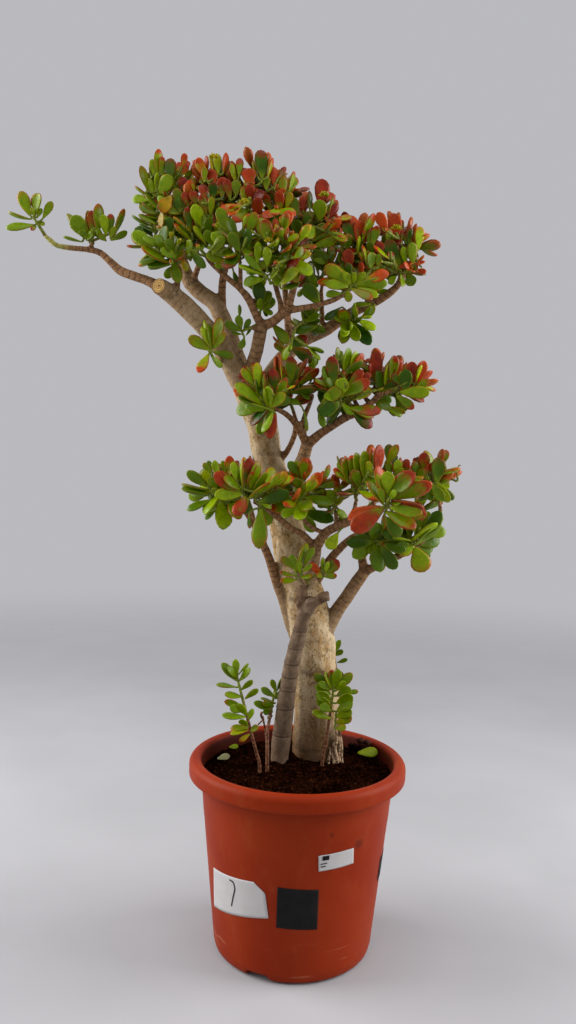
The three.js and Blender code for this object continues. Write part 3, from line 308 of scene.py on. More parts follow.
# Leaves placed one by one, as they are seen in a picture of 576 by 1024 points: [spray, how far behind the
# pot's axis their roots lie in millimetres, rows]. A row is [root across, root down, tip across, tip down,
# width], in points, then how much further back the tip lies, in millimetres, and as shares of a hundred
# how red, how light and how yellow the leaf is. How light holds the leaf's own tone together with painted
# light and shade: leaves that catch the light are set lighter and shaded ones darker.
SEEN_LEAVES = [
    ["sucker_left", -25, """
        237 674 236 658 8 -3 0 90 0   237 681 221 663 10 -2 0 40 0   238 678 227 667 9 -8 0 55 0
        239 674 249 663 4 4 5 60 0   239 681 252 669 8 -4 5 60 0   236 687 216 685 7 -2 10 45 0
        241 690 253 680 6 -4 10 50 0   243 697 224 696 7 -5 15 60 0   245 699 258 688 7 -3 10 55 0
        244 707 224 703 8 3 35 45 0   245 711 229 706 9 -8 0 60 0   246 717 222 719 9 -4 0 60 0
        247 716 238 702 9 -6 0 70 0   247 722 253 708 6 3 5 70 0   249 728 230 729 5 3 25 50 20
        249 730 230 735 6 -5 10 70 25   250 731 259 726 7 -4 20 55 15   250 734 239 741 6 -5 40 60 60
        248 726 240 718 8 -8 5 55 0
    """],
    ["sucker_middle", 20, """
        276 692 271 679 6 -3 0 60 0   277 691 282 676 5 0 0 35 0   275 697 260 688 7 -4 0 45 0
        275 703 260 699 4 2 10 30 0   274 706 262 702 8 -7 20 50 0   273 711 253 703 6 -2 0 35 0
        273 712 263 711 7 -6 0 40 0   272 716 267 719 6 -4 0 35 0   276 699 283 690 6 2 0 40 0
    """],
    ["sucker_right", 3, """
        330 688 314 673 10 -3 15 25 0   330 690 318 681 8 -8 5 45 0   332 690 325 672 7 -4 10 80 0
        333 690 330 669 7 0 50 50 5   334 689 338 668 10 -4 0 60 0   335 690 353 673 10 -3 15 55 0
        336 691 346 680 7 -8 5 70 0   331 695 315 686 11 -2 5 50 0   331 701 316 692 12 -4 0 45 0
        331 707 317 698 12 -5 5 50 0   331 711 319 705 10 -6 0 45 0   337 696 351 687 12 -2 5 55 0
        337 703 352 693 13 -4 5 60 0   337 711 353 701 13 -5 0 50 0   336 717 352 709 12 -5 5 60 5
        336 723 352 716 11 -4 20 70 25   335 729 347 727 8 -3 15 70 30   331 719 311 712 8 -3 10 60 10
        346 692 358 691 4 8 30 50 0
    """],
    ["sucker_right", 95, """
        334 653 341 640 7 -2 0 35 0   334 656 343 650 6 0 0 30 0   337 663 348 660 5 -2 0 25 0
        336 668 344 676 4 -2 25 30 0   335 660 329 650 6 4 0 30 0
    """],
    ["far_left_tip", -24, """
        31 216 20 191 13 -3 25 60 0   36 215 39 193 15 -4 20 65 0   43 219 52 201 5 0 15 50 0
        31 219 7 215 6 3 10 45 0   34 225 6 229 8 -5 5 55 0   34 218 33 207 5 -3 20 60 0
        37 218 42 209 5 2 5 70 0   38 223 45 225 6 0 20 55 20   36 226 31 231 5 -5 70 60 0
    """],
    ["far_left_row", -14, """
        87 238 73 216 16 -6 5 45 0   83 237 64 217 8 4 15 65 0   82 242 63 237 5 2 5 40 0
        89 236 86 211 4 4 20 50 0   93 236 91 211 10 0 60 40 10   98 234 97 204 9 3 35 50 5
        106 236 102 214 10 -6 5 85 0   109 234 111 214 9 2 40 30 0   114 236 123 208 5 0 35 40 0
        111 240 127 231 3 2 10 35 0   110 239 116 226 6 -3 10 65 10   100 238 90 229 9 -7 10 45 0
        104 239 95 230 9 -8 5 40 0   88 239 80 229 8 -9 5 40 0   86 240 94 232 8 -6 5 50 0
        106 241 99 234 7 -8 20 50 5
    """],
    ["low_left_end", -42, """
        208 487 187 471 11 -2 5 30 0   209 490 181 488 8 6 10 30 0   210 494 181 493 10 -4 5 20 0
        211 500 188 512 9 -4 0 25 0   216 510 206 520 4 2 5 25 0   219 500 225 529 18 -8 5 75 0
        211 484 202 470 9 -5 5 85 15   212 473 204 463 7 4 20 40 0   219 478 216 460 9 0 5 65 5
        226 474 223 461 7 4 15 50 5   231 476 230 455 11 -2 60 70 15   213 488 199 475 8 6 15 30 0
        218 490 208 477 9 -8 10 55 0   222 496 212 488 9 -10 10 60 5
    """],
    ["low_left_inner", -76, """
        236 480 233 462 8 4 5 65 0   241 491 213 474 16 -6 65 40 0   242 490 222 478 13 -10 20 50 0
        243 494 214 496 13 -8 5 65 5   243 489 240 457 6 -2 30 75 0   245 488 248 456 9 -4 75 20 0
        248 488 250 470 6 -8 60 40 0   249 489 254 461 5 4 70 40 0   250 490 257 460 8 0 30 55 0
        253 492 264 470 7 -4 10 40 0   248 499 270 478 10 -6 40 55 10   258 503 289 491 15 4 5 8 0
        245 495 236 517 15 -12 75 45 5   249 497 240 513 9 -4 65 50 5   261 508 259 549 17 -4 20 40 0
        249 514 251 528 4 6 40 10 5   262 504 272 509 5 -4 5 70 0   232 500 222 492 10 -2 5 55 0
    """],
    ["knob_tufts", -24, """
        294 569 281 556 8 -3 25 45 20   296 572 292 553 10 -6 5 40 0   298 570 304 542 7 2 15 65 0
        304 566 312 546 8 -2 10 40 0   296 576 279 574 6 -3 50 45 10   296 580 280 583 8 -6 45 55 5
        300 578 313 577 6 -5 30 55 10   302 572 312 564 5 -6 5 70 0   300 574 298 560 7 -8 10 55 0
        321 576 311 562 8 -4 90 90 0   323 573 321 557 6 0 15 50 0   325 573 328 561 5 -6 5 80 0
        325 574 340 561 13 -2 55 30 5   324 577 337 575 7 -6 40 45 10   322 578 316 573 6 -6 45 60 10
    """],
    ["low_right_rosette", -116, """
        387 494 388 470 15 -8 8 85 0   388 497 416 473 20 -10 55 35 0   395 499 432 482 14 -2 60 55 0
        390 500 424 508 9 -16 95 20 0   389 507 423 514 12 -12 20 50 0   385 511 415 530 18 -8 45 40 5
        384 508 350 530 22 -14 85 40 0   382 507 348 520 13 -4 92 70 0   384 505 366 482 8 4 30 50 0
        386 499 373 467 9 2 55 70 0   385 517 400 536 14 10 10 15 0   405 518 427 513 8 4 55 45 15
        384 503 378 488 8 -6 15 60 0   388 500 397 490 8 -12 5 75 0   384 500 380 488 8 0 10 40 0
        391 503 402 503 8 -8 10 60 0
    """],
    ["low_right_left", -66, """
        377 477 376 444 10 -4 95 40 0   371 472 371 447 8 2 60 80 0   364 480 363 450 10 -3 8 55 0
        357 480 355 452 10 0 12 55 0   368 481 371 460 10 -6 15 75 15   347 481 341 458 8 2 35 45 5
        361 488 352 469 12 -5 40 35 0   343 470 335 457 3 3 40 30 0   352 478 350 458 7 3 50 45 5
        366 490 358 478 8 0 20 30 0
    """],
    ["low_right_top", -45, """
        386 465 399 445 10 -2 45 55 15   390 478 387 459 9 2 35 50 0   397 477 398 459 11 -4 10 60 5
        404 478 409 460 8 0 70 25 0   394 480 403 468 9 -6 15 60 10
    """],
    ["low_right_end", -30, """
        424 472 424 452 12 -3 75 45 5   420 478 412 461 9 -2 35 30 0   421 478 431 462 7 -4 65 50 0
        416 478 424 468 7 -6 30 45 0   437 483 438 457 16 -6 30 15 0   436 482 450 502 9 -3 5 75 15
        432 484 443 501 11 -6 5 35 0   441 484 449 488 6 0 5 80 10   428 486 438 494 9 2 5 40 0
        430 480 418 470 8 4 20 40 0   422 488 432 500 9 4 5 20 0
    """],
    ["low_right_low", -16, """
        424 538 441 511 15 -2 0 12 0   412 541 436 520 5 -6 5 90 0   415 545 440 520 9 4 0 25 0
        380 543 406 551 12 -6 0 12 0   404 541 382 531 12 -2 5 10 0   415 547 424 572 21 -6 25 60 10
        412 541 392 538 5 -8 0 70 0   410 545 396 545 9 -4 0 15 0
    """],
    ["low_right_under", -4, """
        373 542 346 543 13 -4 0 10 0   375 543 378 572 17 -3 0 22 0   380 545 396 569 14 2 0 14 0
        374 541 358 536 7 4 0 30 0   378 541 388 530 9 2 0 10 0
    """],
    ["low_centre", -50, """
        302 512 333 523 14 -3 0 6 0   318 487 338 482 8 -4 45 40 0   334 504 327 490 10 -4 5 40 0
        350 523 337 510 9 -3 5 70 0   338 533 328 548 13 8 0 95 15   300 476 288 462 10 -6 5 20 0
        302 480 304 457 8 -4 40 50 0   306 490 292 478 9 -8 10 40 0
    """],
    ["middle_left_front", -62, """
        263 405 234 384 12 -6 10 60 0   266 407 237 399 10 -2 0 20 0   270 409 250 404 5 -4 0 50 0
        256 386 241 369 9 0 25 75 0   258 389 256 362 7 -4 20 85 0   251 379 242 367 4 3 85 40 0
        259 398 255 378 6 -2 10 15 0   265 399 262 371 6 0 50 35 0   270 408 269 385 11 -10 5 75 0
        275 390 274 368 13 -2 60 12 0   277 380 272 357 4 2 75 45 0   281 380 278 353 3 4 75 40 0
        276 397 286 377 6 -6 55 50 5   270 408 287 393 12 -8 20 65 5   273 412 265 434 9 -4 5 55 0
        276 413 270 439 9 -6 100 30 0   268 408 262 388 7 -12 10 50 0
    """],
    ["middle_left_top", -34, """
        291 382 291 356 13 -2 50 25 5   297 380 306 357 6 0 70 25 0   298 384 318 367 5 -3 65 30 0
        289 393 316 385 6 -5 25 15 0   285 398 298 406 10 -4 0 30 0   280 401 289 385 6 -8 50 45 5
        304 411 308 431 5 -2 5 35 0   284 384 276 368 8 3 50 20 0   292 390 284 377 8 -4 20 20 0
        300 392 310 400 7 2 5 30 0
    """],
    ["middle_left_back", 5, """
        314 371 314 356 5 0 0 50 0   312 376 318 384 4 0 40 60 0
    """],
    ["middle_right_front", -46, """
        334 386 332 356 14 -2 50 12 5   331 390 322 367 9 2 5 30 0   337 362 337 347 5 6 30 45 5
        343 372 349 348 9 2 5 55 0   350 370 356 351 7 0 5 80 0   351 373 362 353 7 3 60 55 0
        343 375 363 361 7 -4 10 15 0   340 397 345 377 15 -10 5 80 0   322 403 342 388 14 -6 15 45 5
        340 396 372 383 15 -8 50 35 0   348 386 363 370 10 -3 75 40 0   355 384 371 374 9 0 85 30 0
        340 402 318 413 15 -6 0 5 0   342 403 353 415 9 -3 0 40 0   349 408 381 415 14 -6 65 35 0
        318 410 324 427 7 0 0 30 0   336 400 323 396 10 -12 5 45 0   334 392 326 378 9 -4 5 30 0
    """],
    ["middle_right_mid", -18, """
        378 380 376 350 13 -3 85 25 0   376 384 368 363 8 -5 75 30 0   391 381 391 355 13 -3 60 30 5
        393 380 400 359 8 0 85 35 0   384 386 386 363 8 -6 10 80 5   381 395 377 370 7 -8 5 10 0
        382 391 398 381 9 -8 25 12 0   380 393 400 388 5 -6 40 50 10   377 398 389 412 10 -6 10 30 0
        388 407 406 410 5 -4 30 70 30   384 388 372 376 8 2 60 25 0
    """],
    ["middle_right_end", -34, """
        404 393 407 369 14 -3 5 8 0   411 382 411 361 13 -4 95 35 0   415 384 423 360 13 0 100 55 0
        416 382 420 364 4 -8 10 100 15   412 391 430 379 9 -4 40 55 5   399 392 430 393 10 -8 10 65 0
        396 395 414 409 10 -4 45 30 0   406 380 404 362 3 2 55 40 0   402 386 392 374 8 4 40 20 0
    """],
    ["right_crown_top", -22, """
        354 240 343 223 11 -3 30 15 0   357 242 358 220 12 0 90 60 0   362 240 371 213 6 3 45 60 5
        372 246 377 226 9 0 50 40 0   368 246 370 228 7 3 60 35 0   358 257 357 236 6 -8 5 90 0
        347 252 347 233 11 -8 25 30 0   342 268 337 253 5 0 5 30 0   346 262 338 240 7 4 60 40 5
        372 256 370 241 9 -4 10 30 0
    """],
    ["right_crown_low", -48, """
        350 270 347 249 12 -4 95 45 0   349 277 347 262 9 -8 20 5 0   362 276 361 261 6 -6 80 60 0
        371 269 370 252 12 -5 10 35 0   366 262 362 245 5 0 55 55 10   378 266 379 254 8 -2 10 50 0
    """],
    ["right_crown_end", -14, """
        396 242 394 213 15 -2 100 60 0   392 252 386 229 11 -4 30 50 0   390 249 403 241 7 -10 100 15 0
        400 264 386 240 15 -7 30 10 0   409 245 409 226 4 0 50 10 0   418 250 419 226 12 -3 25 85 0
        413 265 410 242 12 -7 10 40 5   406 265 402 246 8 -9 5 55 0   396 268 387 252 10 -9 60 45 5
        402 273 386 262 12 -7 5 55 5   402 246 401 228 5 2 70 50 0   414 250 405 236 8 4 30 25 0
        407 273 414 286 13 -3 0 40 0   396 276 388 284 8 -4 0 60 5
    """],
    ["right_crown_rosette", -68, """
        364 281 389 274 14 -10 78 100 0   355 285 388 283 9 -4 5 50 0   350 285 325 265 15 -4 25 55 5
        349 287 324 284 11 -10 10 50 5   351 288 372 301 11 -8 35 35 30   357 288 378 297 10 -4 0 75 5
        352 284 343 272 8 -6 5 70 5   353 284 356 272 8 -8 5 75 5   356 284 366 272 8 -4 10 60 5
        342 293 326 293 7 4 0 50 0   347 290 350 302 9 -6 25 40 20
    """],
    ["right_crown_low", 6, """
        371 292 389 290 5 0 0 45 0
    """],
    ["under_right", 6, """
        372 304 354 306 6 0 0 65 0
    """],
    ["crown_left_tall", 5, """
        157 174 157 150 7 2 45 70 15   160 173 162 157 6 0 60 65 10   154 175 152 160 8 4 10 75 0
        149 192 138 168 9 0 30 45 15   155 196 148 178 8 3 10 70 10   156 192 155 172 6 -4 0 100 0
        170 182 172 159 15 -2 35 10 5   158 194 173 176 16 -10 8 55 0   182 168 185 154 7 4 90 90 0
        182 176 188 165 6 3 70 70 0   183 178 192 169 3 4 50 50 0   173 191 188 180 14 -4 72 10 0
        152 198 134 187 3 2 30 40 0   158 209 144 194 7 3 5 45 0   155 214 139 207 9 0 15 40 0
        153 212 141 204 5 4 35 45 0   156 224 138 216 7 0 15 55 0   152 226 130 219 3 3 5 20 0
        155 232 139 224 5 0 0 5 0
    """],
    ["crown_left_mid", -24, """
        171 196 161 213 14 -4 30 60 100   162 209 162 228 5 -4 15 70 90   168 238 170 217 11 -4 0 8 0
        192 233 173 217 5 -2 20 75 0   192 241 172 226 6 -6 40 60 0   204 229 192 205 14 -10 3 95 0
        206 244 193 226 8 -12 15 80 0   190 231 187 207 8 -4 45 20 0   180 212 176 198 9 0 5 12 0
        188 206 184 192 14 -3 75 40 10   196 206 193 191 10 -2 75 55 5   206 215 203 194 11 -2 65 45 15
        166 206 158 196 7 4 0 60 5   198 232 206 216 8 -4 10 40 0   210 216 212 196 7 -6 15 80 5
        207 238 209 216 10 -6 0 25 0
    """],
    ["crown_left_low", -55, """
        155 246 132 233 13 -2 0 60 0   161 247 142 238 11 -8 0 50 0   169 263 139 252 10 -6 25 50 5
        172 264 148 269 10 -2 0 10 0   182 258 186 272 9 -4 0 70 100   165 250 155 236 11 -6 0 45 0
        175 254 165 240 12 -10 5 25 0   178 258 160 250 10 -12 0 55 0   190 251 206 268 10 -6 0 15 0
        186 255 192 240 12 -8 0 55 5   228 263 205 255 10 -8 10 55 15   228 264 214 266 8 -4 0 60 0
        212 246 205 230 10 -6 0 35 0
    """],
    ["crown_top_left", -30, """
        206 179 198 158 10 4 75 80 0   214 177 211 155 7 8 10 80 60   218 175 217 154 8 3 0 75 30
        223 173 226 153 6 6 80 75 0   214 189 211 169 14 2 85 50 5   213 199 213 182 10 -6 30 5 0
        222 197 223 178 12 2 80 35 0   206 200 200 186 8 4 70 45 5   204 182 206 168 7 0 25 50 10
    """],
    ["crown_top_mid", -30, """
        236 183 230 165 6 4 20 70 35   239 176 240 159 8 8 55 45 0   252 187 246 170 15 4 75 55 10
        262 180 260 152 15 10 42 8 0   268 177 271 158 4 8 65 70 10   258 177 251 162 4 12 40 70 10
        236 196 236 180 10 0 10 40 5   252 202 248 184 11 -8 95 35 0   256 218 258 196 12 -10 95 50 0
        246 206 243 186 8 -4 45 60 15   230 200 227 180 9 2 70 35 5
    """],
    ["crown_top_right", -26, """
        274 187 274 168 9 10 82 60 5   278 179 285 169 7 12 78 35 5   284 195 284 177 12 6 30 60 40
        289 191 294 171 6 8 45 60 5   279 213 278 190 11 -8 85 50 5   286 209 291 192 9 -4 25 60 45
        266 190 266 176 9 4 45 50 5   270 210 265 194 9 -4 65 40 5
    """],
    ["crown_top_far_right", -22, """
        297 215 293 198 10 0 10 25 5   303 211 303 196 8 -4 92 25 0   310 211 309 191 4 4 45 20 0
        320 208 321 180 17 4 100 18 0   320 221 320 199 15 -7 5 55 0   329 215 332 194 5 3 60 45 5
        327 221 338 203 8 3 98 10 0   308 229 306 211 11 -6 15 12 0   300 237 294 219 13 -10 5 20 0
        313 239 327 224 13 -6 10 30 5   312 241 338 231 8 -8 35 45 10   312 247 338 239 6 -4 20 70 0
        312 249 330 257 7 2 0 25 0   313 259 326 262 7 4 0 50 0
    """],
    ["crown_front_mid", -70, """
        228 232 219 208 12 -4 10 45 5   236 240 226 218 12 -6 5 30 0   222 248 212 232 9 -4 5 60 0
        240 252 230 232 12 -8 5 35 0   248 250 250 228 12 -6 0 10 0   212 254 224 236 10 -6 0 45 5
    """],
    ["crown_front_right", -82, """
        266 241 266 219 13 -4 55 35 10   264 275 238 266 9 -6 0 60 5   257 265 257 241 9 -8 0 70 0
        267 267 267 246 10 -12 0 70 5   285 277 300 253 14 -4 82 10 0   280 285 300 270 13 -8 5 50 20
        262 272 244 256 10 -4 0 40 0   250 262 254 276 8 0 0 12 0   280 268 290 252 9 2 5 20 0
        270 280 280 268 9 -8 5 45 5
    """],
    ["under_crown", -16, """
        262 307 258 281 14 -4 0 10 0   263 307 272 306 6 -4 0 50 0   262 309 258 298 8 -10 0 50 0
        263 309 273 315 6 -2 0 40 0   261 310 256 318 6 -2 0 40 0   263 305 270 292 7 4 0 35 0
    """],
    ["under_middle", -16, """
        319 303 304 285 15 -4 0 18 0
    """],
    ["right_crown_inner", -16, """
        308 268 318 287 6 0 0 40 0
    """],
    ["crown_front_right", -16, """
        305 271 313 284 5 4 0 20 0
    """],
    ["crown_front_mid", -16, """
        233 270 239 287 7 4 0 8 0
    """],
    ["under_middle", -10, """
        318 326 294 333 9 -4 0 15 0   305 322 319 315 9 0 0 30 0   312 320 304 310 5 0 0 15 0
        286 350 272 337 4 -2 70 55 0   290 349 316 350 6 -4 60 45 15
    """],
    ["under_left", -10, """
        272 324 290 344 10 -6 12 40 5
    """],
    ["under_right", -10, """
        340 308 326 322 10 0 0 8 0
    """],
    ["under_left", -22, """
        241 331 225 322 9 0 0 30 0   241 330 238 315 9 -4 0 35 0   243 332 250 319 6 2 0 25 0
        243 334 231 334 4 -4 0 20 0   244 338 242 350 8 -3 0 35 0   239 318 239 304 3 6 0 40 0
        246 336 252 329 4 3 0 8 0
    """],
    ["elbow", -36, """
        210 350 188 337 12 -3 25 50 10   211 348 199 328 6 -6 5 80 15   212 350 209 325 6 0 5 50 0
        214 348 218 317 9 4 25 55 10   214 349 227 333 8 -6 30 45 10   209 354 200 374 12 -6 55 75 20
        211 355 224 367 7 -6 0 45 0   213 352 234 357 9 4 15 25 0   210 346 204 320 5 4 5 60 5
    """],
]

# Sprays whose leaves are all placed one by one.
ONLY_PLACED = {"sucker_left", "sucker_middle", "sucker_right", "far_left_tip", "far_left_row", "knob_tufts",
               "low_right_rosette", "elbow", "under_left"}

# Further stems, dry stalks and twigs of a spray: points [x, y, z, radius].
FURTHER_STEMS = {
    "sucker_right": [[[50, 95, 250, 2.2], [53, 95, 287, 2], [58, 95, 335, 1.8], [58, 95, 376, 1.6],
        [52, 95, 420, 1.4]]],
    "sucker_middle": [[[-46, 10, 252, 1.4], [-47, 10, 296, 1.3], [-50, 10, 321, 1.2], [-54, 10, 339, 1.8]],
        [[-51, 10, 330, 1], [-56, 10, 339, 1.6], [-55, 10, 345, 2]],
        [[-53, 10, 334, 1], [-60, 10, 326, 1.3]]],
    "low_right_end": [[[184, -18, 690, 1.2], [189, -22, 699, 1.1], [203, -22, 701, 1.3], [213, -22, 699, 1.8],
        [212, -22, 711, 0.9], [214, -22, 720, 0.8], [217, -22, 721, 0.6]]],
    "right_crown_end": [[[131, -9, 990, 1.2], [140, -8, 998, 1.2], [146, -8, 1001, 1.6], [152, -8, 997, 1.2]],
        [[131, -9, 990, 1.2], [138, -8, 994, 1.4], [150, -8, 993, 1.1], [158, -8, 986, 0.7]]],
    "right_crown_top": [[[50, -2, 1012, 1.2], [42, -8, 1026, 1.1], [37, -10, 1035, 1], [31, -10, 1047, 1],
        [23, -10, 1059, 0.9]]],
}

# Clusters of yellow flower buds: [x, y, z].
BUDS = {
    "crown_front_mid": [[-95, -78, 1060]], "crown_front_right": [[-59, -92, 1007]],
    "crown_top_far_right": [[11, -32, 1084]], "right_crown_end": [[112, -28, 1043]],
    "crown_top_left": [[-141, -42, 1128]],
}

# Short shoots from the sides of each main shoot, where a spray has more than one or none.
SIDE_SHOOTS = {
    "crown_top_left": 2, "crown_top_mid": 2, "crown_top_right": 2, "crown_top_far_right": 2,
    "crown_front_mid": 2, "crown_front_right": 2, "crown_left_tall": 3, "crown_left_mid": 2,
    "crown_left_low": 2, "right_crown_end": 2, "right_crown_top": 2, "right_crown_low": 2,
    "right_crown_rosette": 0, "low_right_rosette": 0, "under_left": 0, "under_crown": 0, "elbow": 0,
    "sucker_left": 0, "sucker_middle": 0, "sucker_right": 0, "knob_tufts": 0,
}

# Folds across the trunk: [height, side as degrees from +X, half height, depth].
FOLDS = [[795, -120, 4, 1.6], [726, -60, 3, 1.2], [640, -100, 3, 0.8], [512, -70, 5, 0.9], [400, -60, 4, 0.6]]

# Heights of the ring scars on the front stem, and of the fine moulding rings on the pot.
RING_SCARS = [306, 348, 377, 398, 419, 444, 471]
MOULD_RINGS = [201, 208, 215]

# A small leaf that lies loose on the soil, like FALLEN.
LOOSE = [["loose_green", [-108, 78, 264], 20, 15, 9, 2.4]]

# A root that swells the trunk's foot on its right, as points [x, y, z, radius].
ROOT_FLARE = [[50, 57, 345, 7], [53, 53, 312, 9], [56, 49, 280, 12], [57, 47, 250, 13]]

# Clods on the soil: [x, y, z, radius].
CLODS = [
    [94, 88, 268, 11], [103, 82, 268, 10], [85, 97, 267, 9], [99, 84, 282, 7.5], [108, 79, 282, 7],
    [-80, 60, 264, 5], [-20, 95, 265, 6], [60, -60, 263, 4],
]

# Marks on the stickers, like them: [name, turn, left edge, right edge].
PRINT = [
    ["pen_stroke", 230.5, [[-8, 137], [-1, 136.5], [1.6, 129], [-3.6, 112], [-7.2, 99]],
     [[-8, 138.6], [0.2, 138.2], [3.2, 129], [-2.0, 112], [-5.8, 99]]],
    ["dark_block", 296.6, [[-24, 186.6], [-24.2, 192.8]], [[-14.6, 187.2], [-14.8, 193.4]]],
    ["upper_line", 296.6, [[-26, 181], [-26, 182.2]], [[-17, 181.8], [-17, 183]]],
    ["lower_line", 296.6, [[-26, 177], [-26, 178.2]], [[-19, 177.6], [-19, 178.8]]],
]

# Smears of dirt on the pot, in metres: [x, y, z, radius].
DIRT_SPOTS = [
    [-0.053, -0.131, 0.258, 0.006], [-0.097, -0.098, 0.220, 0.006], [0.050, -0.129, 0.222, 0.005],
    [0.069, -0.118, 0.212, 0.014], [0.088, -0.104, 0.2, 0.011], [0.097, -0.103, 0.258, 0.006],
]

# Lower ends of limbs, sunk in the trunk: points [x, y, z, radius] before the first point of each.
LIMB_FEET = {
    "low_left": [[2, 56, 425, 9], [-13, 52, 466, 11.5]],
    "big_right": [[22, 57, 408, 12]],
}

# Roots on the trunk's foot, as points [x, y, z, radius].
ROOTS = [
    [[57, 31, 316, 1.4], [58, 30, 302, 2.6], [56, 27, 287, 2.4], [60, 25, 271, 3.0], [58, 22, 257, 3.4]],
    [[53, 29, 300, 1.2], [54, 27, 292, 1.9], [52, 26, 280, 1.8], [55, 23, 270, 2.3], [53, 20, 257, 2.6]],
    [[61, 34, 306, 1.4], [63, 31, 291, 2.4], [62, 29, 278, 2.2], [66, 27, 257, 2.9]],
    [[48, 28, 290, 1.0], [49, 25, 282, 1.6], [47, 23, 271, 1.7], [49, 19, 257, 2.2]],
    [[62, 38, 322, 1.6], [63, 37, 306, 2.8], [66, 36, 288, 2.6], [66, 35, 272, 3.0], [69, 33, 256, 3.4]],
    [[57, 30, 290, 1.0], [58, 27, 282, 1.5], [56, 25, 272, 1.6], [58, 21, 257, 2.1]],
]

# ---------------------------------------------------------------- vectors and paths

X, _, Z = np.eye(3)


def unit(vectors):
    """Vectors divided by their lengths."""
    return vectors / np.linalg.norm(vectors, axis=-1, keepdims=True)


def square_to(direction, vector):
    """The part of a vector that is square to a direction, one unit long."""
    return unit(vector - direction * (vector @ direction))


def mix(low, high, share):
    """low plus a share of the way to high."""
    return low + (high - low) * share


def soft_step(low, high, value):
    """0 up to low, 1 from high, and 3 t^2 - 2 t^3 of the share t of the way between them."""
    t = np.clip((value - low) / (high - low), 0, 1)
    return t * t * (3 - 2 * t)


def on_curve(first, bend, last, t):
    """The quadratic curve (1 - t)^2 first + 2 t (1 - t) bend + t^2 last."""
    t = np.asarray(t, float)[..., None]
    return first * (1 - t) ** 2 + bend * 2 * t * (1 - t) + last * t * t


def through_points(rows, steps):
    """A smooth curve through rows of numbers, with some steps to each stretch.

    At share t of the stretch from b to c, between neighbours a and d, it is half of
    2b + (c - a) t + (2a - 5b + 4c - d) t^2 + (3b - a - 3c + d) t^3.
    """
    rows = np.asarray(rows, float)
    padded = np.vstack([2 * rows[0] - rows[1], rows, 2 * rows[-1] - rows[-2]])
    t = (np.arange(steps) / steps)[None, :, None]
    a, b, c, d = (padded[i:len(padded) - 3 + i, None] for i in range(4))
    curve = (2 * b + (c - a) * t + (2 * a - 5 * b + 4 * c - d) * t**2 + (3 * b - a - 3 * c + d) * t**3) / 2
    return np.vstack([curve.reshape(-1, rows.shape[1]), rows[-1]])


def path_frames(middle):
    """Along, across and up at each point of a path.

    Across is square to the path and to the axis that the path runs along least. Up is square to both.
    """
    along = unit(np.gradient(middle, axis=0))
    axis = np.eye(3)[np.abs(along).mean(0).argmin()]
    across = unit(np.cross(axis, along))
    return along, across, np.cross(along, across)


def run_length(middle):
    """Distance along a path to each of its points."""
    steps = np.linalg.norm(np.diff(middle, axis=0), axis=1)
    return np.concatenate([[0], np.cumsum(steps)])


def lumps(places, size, seed):
    """Smooth lumps of about a size, from -1 to 1.

    Heights drawn at the crossings of a square lattice are blended between the eight crossings round each
    place by soft steps.
    """
    heights = np.random.default_rng(seed).uniform(-1, 1, (32, 32, 32))
    scaled = places / size
    low = np.floor(scaled).astype(int)
    share = soft_step(0, 1, scaled - low)
    total = np.zeros(len(places))
    for corner in np.ndindex(2, 2, 2):
        weight = np.prod(np.where(corner, share, 1 - share), axis=1)
        index = (low + corner) % 32
        total += weight * heights[index[:, 0], index[:, 1], index[:, 2]]
    return total


# ---------------------------------------------------------------- meshes


class Shape:
    """Corners, faces and values of one or more closed surfaces that become one mesh."""

    def __init__(self):
        self.corners = []
        self.quads = []
        self.triangles = []
        self.values = {}
        self.slots = []
        self.count = 0

    def add(self, corners, quads, triangles, values, slot=0):
        """Adds a surface. Values holds a number, or three, for each of its corners."""
        self.corners.append(corners)
        self.quads.append(np.reshape(quads, (-1, 4)) + self.count)
        self.triangles.append(np.reshape(triangles, (-1, 3)) + self.count)
        self.slots.append((len(self.quads[-1]), len(self.triangles[-1]), slot))
        for name, value in values.items():
            self.values.setdefault(name, []).append(value)
        self.count += len(corners)

    def mesh(self, name):
        """The mesh, in metres, with smooth faces and its values as attributes of its corners."""
        corners = np.vstack(self.corners) * 0.001
        quads, triangles = np.vstack(self.quads), np.vstack(self.triangles)
        loops = np.concatenate([quads.ravel(), triangles.ravel()])
        starts = np.concatenate([np.arange(len(quads)) * 4, len(quads) * 4 + np.arange(len(triangles)) * 3])
        slots = np.concatenate(
            [np.full(four, slot) for four, _, slot in self.slots]
            + [np.full(three, slot) for _, three, slot in self.slots]
        )
        made = bpy.data.meshes.new(name)
        made.vertices.add(len(corners))
        made.vertices.foreach_set("co", corners.ravel())
        made.loops.add(len(loops))
        made.loops.foreach_set("vertex_index", loops.astype(np.int32))
        made.polygons.add(len(starts))
        made.polygons.foreach_set("loop_start", starts.astype(np.int32))
        made.polygons.foreach_set("material_index", slots.astype(np.int32))
        made.update(calc_edges=True)
        made.shade_smooth()
        for key, parts in self.values.items():
            set_values(made, key, np.concatenate(parts))
        return made


def set_values(mesh, name, values):
    """Gives a mesh one number, or three, at each corner."""
    vectors = np.ndim(values) == 2
    layer = mesh.attributes.new(name, "FLOAT_VECTOR" if vectors else "FLOAT", "POINT")
    layer.data.foreach_set("vector" if vectors else "value", np.asarray(values, np.float32).ravel())


